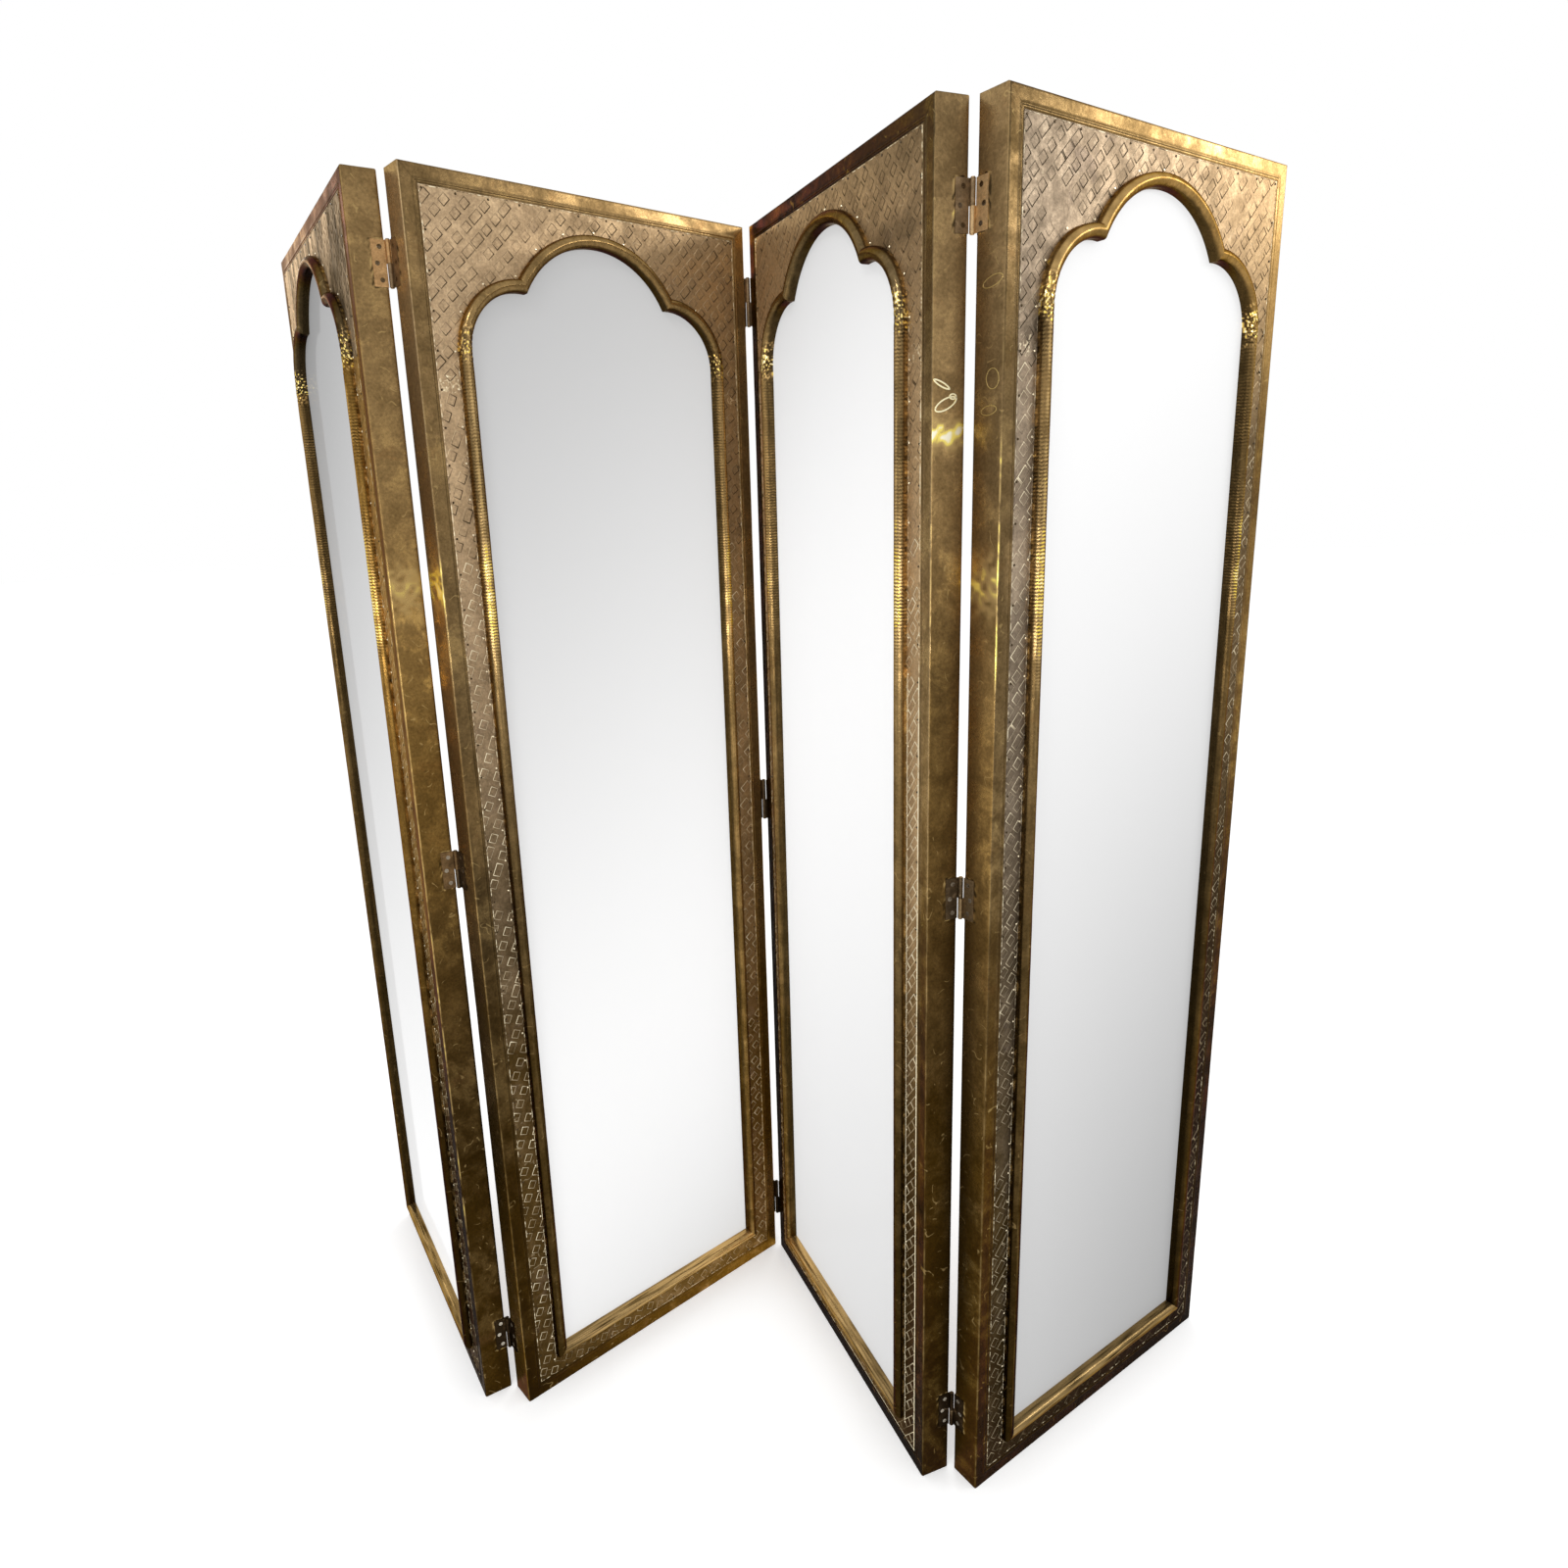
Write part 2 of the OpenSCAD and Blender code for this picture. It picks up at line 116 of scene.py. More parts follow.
# How light the tarnish, painted shade and painted light are up the two sides of a panel's face, and up the
# edge turned to the viewer
toneHeights = [0.1, 0.5, 0.9, 1.3, 1.6, 1.95]
faceTones = {
    1: ([1.0, 0.9, 0.8, 0.8, 1.3, 1.5], [0.2, 0.25, 0.95, 1.3, 1.25, 0.8]),
    2: ([0.6, 0.8, 0.5, 1.05, 1.55, 1.1], [3.0, 2.2, 1.5, 1.0, 0.85, 1.2]),
    3: ([3.0, 2.3, 1.7, 1.8, 2.5, 1.3], [0.2, 0.5, 1.6, 1.4, 1.65, 0.55]),
    4: ([0.35, 0.55, 0.5, 0.6, 0.8, 0.7], [0.1, 0.13, 0.18, 0.45, 0.45, 2.0]),
}
edgeTones = {
    1: [0.55, 0.35, 0.5, 0.95, 1.1, 1.1], 2: [2.3, 0.85, 1.2, 1.3, 1.15, 2.5],
    3: [0.4, 0.5, 0.5, 0.55, 1.45, 1.1], 4: [0.9, 0.65, 0.85, 1.05, 0.75, 1.4],
}
# Golden above 0, grey below: left side of the face, its right side and that edge
warmth = {1: (0.3, 1.4, 0.4), 2: (0.0, 0.4, -0.4), 3: (0.3, 0.3, 0.2), 4: (-0.8, 0.4, 0.1)}
# Pieces lighter or darker than their panel, partly tarnish and partly painted light and shade: its left at
# foot and head, its right at foot and head
partTones = {
    "borderSheet": {1: (1, 1, 1.2, 1.0), 2: (0.5, 0.65, 1.2, 1.7), 3: (0.15, 0.15, 1.4, 0.65),
                    4: (1.6, 0.7, 4.0, 1.6)},
    "archBead": {1: (0.4, 0.4, 0.5, 0.5), 2: (0.8, 0.8, 0.85, 0.85), 3: (0.7, 0.7, 0.65, 0.65),
                 4: (1.3, 1.3, 1, 1)},
    "straightBead": {1: (1, 1, 0.8, 0.8), 2: (0.45, 0.8, 0.9, 1.5), 3: (0.9, 0.9, 0.4, 0.65),
                     4: (0.8, 1.2, 3.2, 0.7)},
}
# Pieces warmer or greyer than their panel, at its left and its right
partHues = {
    "borderSheet": {1: (0, -0.6), 2: (0.4, 0), 3: (1.8, -0.4), 4: (1.0, 0)},
    "archBead": {1: (-1, -1.6), 3: (0, -1.0), 4: (1.2, 0.4)},
    "straightBead": {3: (0, -0.3), 4: (0.9, 0)},
}
# Rubbed or soiled places of the face and patches of painted light and shade: x and height of the middle and
# half sizes in mm, tone
smudgesAndPaintedLight = {
    1: [(500, 1850, 50, 90, 0.5), (330, 1900, 60, 30, 0.7), (575, 900, 13, 260, 1.6)],
    2: [(60, 1772, 16, 16, 1.2), (300, 1900, 120, 22, 1.2), (430, 1760, 40, 40, 0.8),
        (10, 1600, 14, 60, 0.85), (12, 1100, 13, 90, 1.7), (69, 1600, 12, 70, 0.6), (518, 1300, 12, 80, 1.5)],
    3: [(500, 1853, 85, 16, 0.62), (470, 1800, 60, 12, 0.75), (575, 1700, 14, 120, 0.85),
        (8, 1940, 16, 60, 5.0), (60, 1968, 120, 14, 2.6), (575, 860, 13, 180, 0.5), (575, 270, 13, 300, 2.3),
        (518, 1600, 12, 70, 0.65), (518, 1300, 12, 70, 1.3), (518, 880, 12, 110, 0.65)],
    4: [(55, 1725, 22, 18, 0.7), (10, 1850, 12, 60, 1.15), (560, 1965, 60, 14, 1.2), (60, 1640, 18, 50, 1.25),
        (35, 1450, 30, 50, 1.5), (518, 380, 12, 380, 2.0)],
}
# Painted shade and tarnish on the face: depth beyond which the far edges are nearer plain brass, grain of the
# patches, golden edges, one streaked head
shadeAndTarnish = {
    "faceDepth": 4 * mm, "smudgeGrain": 22 * mm,
    "edgeGold": (0.9, 1.1, 0.4),  # the edges are more golden half way up: how much, height, reach
    "streaked": 1, "streakWide": 16 * mm, "streakDeep": 1.15, "streakHue": -0.3,  # panel with a streaked head
}


def toneAlong(tones, z):
    for i in range(len(tones) - 1):
        if z < toneHeights[i + 1]:
            share = max(z - toneHeights[i], 0.0) / (toneHeights[i + 1] - toneHeights[i])
            return tones[i] + (tones[i + 1] - tones[i]) * share
    return tones[-1]


def toneAt(k, part, point):
    warmLeft, warmRight, warmEdge = warmth[k]
    onEdge = point.x > wide - 1 * mm if k in (1, 3) else point.x < 1 * mm
    if onEdge:
        tone = toneAlong(edgeTones[k], point.z)
        gold, height, reach = shadeAndTarnish["edgeGold"]
        hue = warmEdge + gold * bell(point.z, height, reach)
    else:
        left, right = faceTones[k]
        leftFoot, leftHead, rightFoot, rightHead = partTones.get(part, {}).get(k, (1, 1, 1, 1))
        share = clamp(point.x / wide)
        up = point.z / tall
        tone = toneAlong(left, point.z) * (1 - share) * (leftFoot + (leftHead - leftFoot) * up)
        tone += toneAlong(right, point.z) * share * (rightFoot + (rightHead - rightFoot) * up)
        leftHue, rightHue = partHues.get(part, {}).get(k, (0, 0))
        hue = (warmLeft + leftHue) * (1 - share) + (warmRight + rightHue) * share
        if point.y > shadeAndTarnish["faceDepth"]:  # the far edges are nearer to plain brass than the face
            tone = tone ** 0.5
            hue *= 0.3
        for x, z, halfWide, halfHigh, level in smudgesAndPaintedLight[k]:
            away = ((point.x / mm - x) / halfWide) ** 2 + ((point.z / mm - z) / halfHigh) ** 2
            away += 1.2 * ripple(point.x, k, point.z, shadeAndTarnish["smudgeGrain"])
            tone *= 1.0 + (level - 1.0) * math.exp(-max(away, 0.0) ** 2)
        if k == shadeAndTarnish["streaked"] and point.z > springing and part in ("fieldSheet", "embossing"):
            streak = shadeAndTarnish["streakDeep"] * ripple(point.x, k, 0.2 * point.z, shadeAndTarnish["streakWide"])
            tone *= (1.5 - 0.7 * share) * max(1.0 + streak, 0.4)
            hue = shadeAndTarnish["streakHue"]
    return Vector((tone, tone * (1 - 0.12 * hue), tone * (1 - 0.4 * hue)))


def meshFrom(bm, name):
    mesh = bpy.data.meshes.new(name)
    bm.to_mesh(mesh)
    bm.free()
    return mesh


def showObject(name, data):
    shown = bpy.data.objects.new(name, data)
    bpy.context.scene.collection.objects.link(shown)
    return shown


def finishPiece(bm, name, k, materialName, replacing=(), smooth=40):
    bmesh.ops.remove_doubles(bm, verts=bm.verts, dist=0.00001)
    bmesh.ops.recalc_face_normals(bm, faces=bm.faces)
    tone = bm.verts.layers.float_vector.new("tone")
    for v in bm.verts:
        v[tone] = toneAt(k, name.rstrip("1234"), v.co)
    mesh = meshFrom(bm, name)
    mesh.transform(places[k])
    mesh.materials.append(bpy.data.materials[materialName])
    mesh.shade_smooth()
    mesh.set_sharp_from_angle(angle=math.radians(smooth))
    piece = showObject(name, mesh)
    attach(piece, f"panel_{k}")
    if replacing:
        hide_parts(*replacing)


# A grid whose rows and columns are then set in place one vertex at a time
def shapedGrid(columns, rows, setInPlace):
    bm = bmesh.new()
    bmesh.ops.create_grid(bm, x_segments=columns, y_segments=rows, size=0.5)
    layer = bm.verts.layers.float.new("line")
    for v in bm.verts:
        column = round((v.co.x + 0.5) * columns)
        row = round((v.co.y + 0.5) * rows)
        v.co, v[layer] = setInPlace(column, row)
    return bm


def turned(degrees, axis):
    return Matrix.Rotation(math.radians(degrees), 4, axis)


# Adds a stamp to a mesh and returns its corners
def addStamp(bm, stamp, place):
    before = len(bm.verts)
    bm.from_mesh(stamp)
    bm.verts.ensure_lookup_table()
    added = bm.verts[before:]
    bmesh.ops.transform(bm, matrix=place, verts=added)
    return added


def steps(start, end, size):
    count = max(round((end - start) / size), 1)
    return [start + (end - start) * i / count for i in range(count)]


# Node helpers
def addNode(tree, kind, **settings):
    node = tree.nodes.new(kind)
    for name, value in settings.items():
        setattr(node, name, value)
    return node


def feed(tree, socket, value):
    if hasattr(value, "is_output"):
        tree.links.new(value, socket)
    else:
        socket.default_value = value


def feedNamed(tree, node, values):
    for name, value in values.items():
        feed(tree, node.inputs[name], value)
    return node.outputs


# Adds a node with its inputs fed in order, and returns its outputs
def addFed(tree, kind, *values, **settings):
    node = addNode(tree, kind, **settings)
    for socket, value in zip(node.inputs, values):
        feed(tree, socket, value)
    return node.outputs


def calc(tree, operation, *values):
    return addFed(tree, "ShaderNodeMath", *values, operation=operation)[0]


def times(tree, first, second):
    return calc(tree, "MULTIPLY", first, second)


def vectorCalc(tree, operation, *values):
    outputs = addFed(tree, "ShaderNodeVectorMath", *values, operation=operation)
    return outputs["Value" if operation == "DOT_PRODUCT" else "Vector"]


def span(tree, value, low, high, newLow=0.0, newHigh=1.0, kind="SMOOTHSTEP"):
    return addFed(tree, "ShaderNodeMapRange", value, low, high, newLow, newHigh, interpolation_type=kind)[0]


def blendColour(tree, share, first, second):
    node = addNode(tree, "ShaderNodeMix", data_type="RGBA", blend_type="MIX", clamp_factor=True)
    feed(tree, node.inputs[0], share)
    feed(tree, node.inputs[6], first)
    feed(tree, node.inputs[7], second)
    return node.outputs[2]


def cloudy(tree, position, scale, detail=5.0, roughness=0.6, distortion=0.0):
    values = {"Vector": position, "Scale": scale, "Detail": detail, "Roughness": roughness,
              "Distortion": distortion}
    return feedNamed(tree, addNode(tree, "ShaderNodeTexNoise"), values)["Fac"]


def axisOf(tree, position, axis):
    return addFed(tree, "ShaderNodeSeparateXYZ", position)[axis]


def objectPosition(tree):
    return addNode(tree, "ShaderNodeTexCoord").outputs["Object"]


# Distance of a point from the left edge of its panel
def acrossPanel(tree, k):
    offset = vectorCalc(tree, "SUBTRACT", objectPosition(tree), places[k].translation)
    return vectorCalc(tree, "DOT_PRODUCT", offset, places[k].to_3x3() @ Vector((1, 0, 0)))


# The kind of each input follows from its value: a number, a vector of three or a colour of four
def newGroup(name, inputs, outputs):
    tree = bpy.data.node_groups.new(name, "ShaderNodeTree")
    for label, value in inputs.items():
        kind = {3: "Vector", 4: "Color"}[len(value)] if isinstance(value, tuple) else "Float"
        socket = tree.interface.new_socket(label, in_out="INPUT", socket_type=f"NodeSocket{kind}")
        socket.default_value = value
    for label, kind in outputs.items():
        tree.interface.new_socket(label, in_out="OUTPUT", socket_type=f"NodeSocket{kind}")
    inside = addNode(tree, "NodeGroupInput")
    outside = addNode(tree, "NodeGroupOutput")
    return tree, inside.outputs, outside


def newMaterial(name):
    material = bpy.data.materials.new(name)
    material.use_nodes = True
    tree = material.node_tree
    return tree, tree.nodes["Principled BSDF"]


def addBump(tree, shader, height, distance):
    bump = feedNamed(tree, addNode(tree, "ShaderNodeBump"), {"Distance": distance, "Height": height})
    feed(tree, shader.inputs["Normal"], bump["Normal"])


# Brass darkened by age: clouds of tarnish, stains, a fade from the darker foot to the head that is partly
# painted shade, and lines of wear and grime that also carry painted highlights and painted shade
def buildAgedBrass():
    tree, given, result = newGroup("agedBrass", {
        "Position": (0, 0, 0), "Foot": (0.05, 0.03, 0.01, 1), "Head": (0.12, 0.08, 0.03, 1),
        "Light": (0.3, 0.2, 0.09, 1), "Glint": (0.9, 0.6, 0.2, 1), "Stain": (0.2, 0.06, 0.02, 1),
        "Cloud": 0.06, "Stained": 0.3, "Patched": 0.5, "Mottle": 0.3, "Scratches": 0.5,
        "Line": 0.5, "Tone": (1, 1, 1), "Smooth": 0.25, "Rough": 0.45,
    }, {"Colour": "Color", "Roughness": "Float", "Height": "Float"})
    position = given["Position"]
    fade = span(tree, axisOf(tree, position, "Z"), 0.18 * tall, 0.7 * tall)
    scale = calc(tree, "DIVIDE", 1.0, given["Cloud"])
    cloud = span(tree, cloudy(tree, position, scale, 7.0, 0.7, 0.3), 0.34, 0.66)
    broad = cloudy(tree, position, times(tree, scale, 0.21), 4.0, 0.55, 0.2)
    speck = cloudy(tree, position, 900.0, 3.0, 0.7)
    amount = calc(tree, "MULTIPLY_ADD", calc(tree, "SUBTRACT", cloud, 0.5), 0.22, fade)
    amount = calc(tree, "MULTIPLY_ADD", calc(tree, "SUBTRACT", broad, 0.5), 0.9, amount)
    tone = blendColour(tree, amount, given["Foot"], given["Head"])
    patch = times(tree, span(tree, cloud, 0.35, 1.0), span(tree, broad, 0.45, 0.68))
    patch = times(tree, patch, calc(tree, "MULTIPLY_ADD", fade, 0.75, 0.25))
    tone = blendColour(tree, times(tree, patch, given["Patched"]), tone, given["Light"])
    spot = span(tree, cloudy(tree, position, times(tree, scale, 0.6), 5.0, 0.7, 0.6), 0.56, 0.7)
    tone = blendColour(tree, times(tree, spot, given["Stained"]), tone, given["Stain"])
    grain = calc(tree, "MULTIPLY_ADD", cloudy(tree, position, 260.0, 4.0, 0.65), 1.3, 0.35)
    grain = times(tree, grain, calc(tree, "MULTIPLY_ADD", cloud, given["Mottle"], 1.0))
    tone = vectorCalc(tree, "MULTIPLY", vectorCalc(tree, "MULTIPLY", tone, given["Tone"]), grain)
    halfTone = vectorCalc(tree, "MULTIPLY_ADD", given["Tone"], (0.5, 0.5, 0.5), (0.5, 0.5, 0.5))
    light = vectorCalc(tree, "MULTIPLY", given["Light"], halfTone)
    swirl = calc(tree, "SUBTRACT", cloudy(tree, position, 34.0, 1.0, 0.4), 0.5)
    hairline = span(tree, calc(tree, "ABSOLUTE", swirl), 0.014, 0.004)
    fleck = span(tree, cloudy(tree, position, 330.0, 1.0), 0.74, 0.8)
    broken = span(tree, cloudy(tree, position, 55.0, 2.0), 0.56, 0.64)
    scratch = times(tree, calc(tree, "MAXIMUM", hairline, fleck), broken)
    tone = blendColour(tree, times(tree, scratch, given["Scratches"]), tone, light)
    # a line of 0.5 is plain; below it darker with grime and painted shade, above it worn and lit with painted
    # highlights, then painted glints and white
    for low, high, most, colour in ((0.5, 0.0, 0.8, (0.012, 0.008, 0.003, 1)), (0.5, 1.0, 0.85, light),
                                    (1.0, 1.6, 1.0, given["Glint"]), (1.6, 2.2, 1.0, (1.0, 0.94, 0.74, 1))):
        tone = blendColour(tree, span(tree, given["Line"], low, high, 0.0, most), tone, colour)
    rough = times(tree, calc(tree, "SUBTRACT", 1.0, cloud), 0.8)
    rough = calc(tree, "ADD", rough, times(tree, speck, 0.3))
    feedNamed(tree, result, {
        "Colour": tone,
        "Roughness": span(tree, rough, 0.0, 1.0, given["Smooth"], given["Rough"], "LINEAR"),
        "Height": calc(tree, "ADD", times(tree, cloud, 0.6), times(tree, speck, 0.4)),
    })
    return tree


agedBrass = buildAgedBrass()

# Values shared by the hinges; "edge" is how bright the metal is seen edge on
hingeLook = {"Glint": (0.95, 0.7, 0.4), "Stained": 0.35, "Patched": 0.3, "Mottle": 0.3,
             "Smooth": 0.24, "Rough": 0.45, "bump": 0.00005, "edge": (0.6, 0.5, 0.4), "metal": 0.8}
brassLooks = {
    "borderBrassLined": {
        "Foot": (0.058, 0.031, 0.0052), "Head": (0.166, 0.111, 0.052), "Light": (0.40, 0.28, 0.12),
        "Stain": (0.13, 0.07, 0.028), "Glint": (0.92, 0.74, 0.17), "Cloud": 0.05, "Stained": 0.4,
        "Patched": 0.45, "Mottle": 0.45, "Scratches": 0.6, "Smooth": 0.2, "Rough": 0.42,
        "bump": 0.00012, "edge": (0.27, 0.19, 0.10), "metal": 0.85},
    "fieldBrassLined": {
        "Foot": (0.082, 0.047, 0.0125), "Head": (0.31, 0.220, 0.130), "Light": (0.62, 0.50, 0.32),
        "Stain": (0.22, 0.155, 0.11), "Glint": (0.95, 0.86, 0.62), "Cloud": 0.03, "Stained": 0.35,
        "Patched": 0.06, "Mottle": 0.15, "Scratches": 0.3, "Smooth": 0.36, "Rough": 0.58,
        "bump": 0.0001, "edge": (0.5, 0.42, 0.32), "metal": 0.8},
    "mouldingBrassLined": {
        "Foot": (0.062, 0.036, 0.009), "Head": (0.180, 0.115, 0.046), "Light": (0.58, 0.39, 0.165),
        "Stain": (0.15, 0.078, 0.026), "Glint": (1.0, 0.74, 0.07), "Cloud": 0.03, "Stained": 0.3,
        "Patched": 0.1, "Mottle": 0.3, "Scratches": 0.3, "Smooth": 0.14, "Rough": 0.34,
        "bump": 0.00008, "edge": (0.38, 0.27, 0.14), "metal": 0.9},
    "hingeBrass": {
        **hingeLook, "Foot": (0.03, 0.018, 0.008), "Head": (0.175, 0.117, 0.062), "Light": (0.40, 0.28, 0.16),
        "Stain": (0.06, 0.035, 0.02), "Cloud": 0.02},
    # Lighter copies of the hinge brass for the leaves and pins that face the light: painted light
    "hingeGold": {
        **hingeLook, "Foot": (0.04, 0.024, 0.010), "Head": (0.35, 0.205, 0.088), "Light": (0.52, 0.33, 0.15),
        "Stain": (0.12, 0.07, 0.03), "Cloud": 0.015},
    "hingeCopper": {
        **hingeLook, "Foot": (0.05, 0.030, 0.014), "Head": (0.52, 0.35, 0.175), "Light": (0.66, 0.45, 0.26),
        "Stain": (0.20, 0.12, 0.06), "Cloud": 0.015, "Mottle": 0.2},
    "screwSteel": {
        "Foot": (0.50, 0.46, 0.38), "Head": (0.10, 0.064, 0.030), "Light": (0.6, 0.56, 0.5),
        "Stain": (0.10, 0.07, 0.04), "Glint": (0.95, 0.9, 0.8), "Cloud": 0.006, "Stained": 0.4,
        "Patched": 0.1, "Mottle": 0.2, "Smooth": 0.2, "Rough": 0.4,
        "bump": 0.00003, "edge": (0.8, 0.75, 0.65), "metal": 0.9},
}


def buildBrass(name, look):
    tree, shader = newMaterial(name)
    values = {label: (*value, 1) if isinstance(value, tuple) else value
              for label, value in look.items() if label not in ("bump", "edge", "metal")}
    values["Position"] = objectPosition(tree)
    if name.endswith("Lined"):
        values["Line"] = addNode(tree, "ShaderNodeAttribute", attribute_name="line").outputs["Fac"]
        values["Tone"] = addNode(tree, "ShaderNodeAttribute", attribute_name="tone").outputs["Vector"]
    elif name.startswith("hinge"):
        height = axisOf(tree, values["Position"], "Z")
        values["Tone"] = span(tree, height, 1.2, 1.7, 0.45, 1.0)  # the lower hinges are darker
    made = feedNamed(tree, addNode(tree, "ShaderNodeGroup", node_tree=agedBrass), values)
    feedNamed(tree, shader, {
        "Base Color": made["Colour"], "Roughness": made["Roughness"], "Metallic": look["metal"],
        "Specular Tint": (*look["edge"], 1), "Specular IOR Level": 0.15,
    })
    addBump(tree, shader, made["Height"], look["bump"])


for name, look in brassLooks.items():
    buildBrass(name, look)

# Silvered glass with a painted reflection: a grey that runs slantwise over each pane, the square root of how
# far it lies below white
mirrorLooks = {
    1: {"start": 1.3, "rise": 8.75, "bend": 0.0, "across": -2.0},
    2: {"start": -4.3, "rise": 17.9, "bend": -6.0, "across": -2.0},
    3: {"start": -5.0, "rise": 2.0, "bend": 9.1, "across": -1.6},
    4: {"start": -8.3, "rise": 2.8, "bend": 5.7, "across": -2.0},
}
# The glass also glows by itself, a painted reflection of the white room
mirrorShare = {"given back": 0.45, "own light": 0.55}  # the lamps' light, and the white room in it


def buildMirror(k, look):
    tree, shader = newMaterial(f"mirrorSilver{k}")
    u = calc(tree, "DIVIDE", acrossPanel(tree, k), wide)
    v = calc(tree, "DIVIDE", axisOf(tree, objectPosition(tree), "Z"), tall)
    slope = calc(tree, "MULTIPLY_ADD", v, look["bend"], look["rise"])
    depth = calc(tree, "MULTIPLY_ADD", v, slope, look["start"])
    depth = calc(tree, "MULTIPLY_ADD", calc(tree, "SUBTRACT", u, 0.5), look["across"], depth)
    grey = calc(tree, "SUBTRACT", 1.0, calc(tree, "DIVIDE", times(tree, depth, depth), 255.0))
    grey = calc(tree, "POWER", grey, 2.2)
    tone = addFed(tree, "ShaderNodeCombineColor", grey, grey, grey)[0]
    haze = cloudy(tree, objectPosition(tree), 6.0, 3.0)
    feedNamed(tree, shader, {
        "Base Color": vectorCalc(tree, "MULTIPLY", tone, [mirrorShare["given back"]] * 3),
        "Emission Color": tone, "Emission Strength": mirrorShare["own light"],
        "Roughness": span(tree, haze, 0.3, 0.7, 0.04, 0.07), "Specular IOR Level": 0.1, "IOR": 1.08,
    })


# Pins: dull heads along the border, bright ones beside the moulding
pinTones = {"dull": (0.05, 0.032, 0.014, 1), "bright": (0.85, 0.74, 0.52, 1), "between": (38 * mm, 50 * mm)}


def buildPins(k):
    tree, shader = newMaterial(f"pinBrass{k}")
    position = objectPosition(tree)
    inset = wide
    for distance, length in ((acrossPanel(tree, k), wide), (axisOf(tree, position, "Z"), tall)):
        nearest = calc(tree, "MINIMUM", distance, calc(tree, "SUBTRACT", length, distance))
        inset = calc(tree, "MINIMUM", inset, nearest)
    wear = calc(tree, "MULTIPLY_ADD", cloudy(tree, position, 300.0), 0.6, 0.7)
    bright = times(tree, span(tree, inset, *pinTones["between"]), wear)
    tone = blendColour(tree, bright, pinTones["dull"], pinTones["bright"])
    feedNamed(tree, shader, {"Base Color": tone, "Metallic": 0.9, "Roughness": 0.3})


for k, look in mirrorLooks.items():
    buildMirror(k, look)
    buildPins(k)


# Wood and board, seen at the back and on the underside
def buildWood(name, dark, light, ring, roughness):
    tree, shader = newMaterial(name)
    mapping = addNode(tree, "ShaderNodeMapping")
    position = feedNamed(tree, mapping, {"Vector": objectPosition(tree), "Scale": ring})[0]
    grain = cloudy(tree, position, 60.0, 8.0, 0.65, 1.2)
    fibre = cloudy(tree, position, 400.0, 3.0, 0.5)
    share = calc(tree, "ADD", times(tree, grain, 0.75), times(tree, fibre, 0.25))
    feedNamed(tree, shader, {
        "Base Color": blendColour(tree, span(tree, share, 0.3, 0.7), (*dark, 1), (*light, 1)),
        "Roughness": span(tree, share, 0.2, 0.8, roughness - 0.1, roughness + 0.1),
    })
    addBump(tree, shader, share, 0.0003)


buildWood("frameWood", (0.045, 0.022, 0.010), (0.13, 0.07, 0.035), (1, 1, 0.06), 0.6)
buildWood("backBoard", (0.16, 0.09, 0.045), (0.26, 0.16, 0.085), (0.4, 0.4, 0.25), 0.7)
print("materials built")

# CAD nodes that keep their shape
nodeFinishes = {
    "stile_left": "frameWood", "stile_right": "frameWood", "head_rail": "frameWood", "foot_rail": "frameWood",
    "back_board": "backBoard", "hinge_12_left_leaves": "hingeGold", "hinge_34_right_leaves": "hingeCopper",
    "hinge_34_pins": "hingeCopper",
}


def nodeFinish(name):
    part, k = name[:-2], name[-1]
    if part in ("mirror", "brass_pins"):
        return f"mirrorSilver{k}" if part == "mirror" else f"pinBrass{k}"
    if "hinge" in name:
        return "screwSteel" if "screws" in name else nodeFinishes.get(name, "hingeBrass")
    return nodeFinishes.get(part)


for name, node in nodes.items():
    if nodeFinish(name):
        node.data.materials.clear()
        node.data.materials.append(bpy.data.materials[nodeFinish(name)])

# Border of smooth brass folded round the edges
border = {
    "wide": 25 * mm, "turn": 14 * mm, "cornerRound": 2.5 * mm, "seam": 0.12 * mm, "foldLine": 20 * mm,
    "sunk": 0.4 * mm, "wave": 0.25 * mm, "rowStep": 6 * mm, "leafFit": 0.3 * mm,
}
# Painted highlights on a side: panel and side, height, half height of the patch, how strongly and its limit
glows = {(1, "right"): (1.425, 0.04, 0.7, 1.15), (2, "left"): (1.43, 0.03, 1.6, 1.35),
         (3, "right"): (1.605, 0.014, 2.2, 1.9), (4, "left"): (1.42, 0.035, 1.0, 1.15)}
# Where the painted highlight along the front corner of a side is strong: lower and upper end, how strongly
cornerGleams = {(1, "right"): (0.3, 1.47, 1.2), (2, "left"): (1.36, 1.47, 1.6),
                (3, "right"): (1.37, 1.50, 1.5), (4, "left"): (1.29, 1.60, 1.7)}
otherCornerGleam = (1.7, 1.9, 0.6)
borderRound = border["cornerRound"] + border["sunk"]


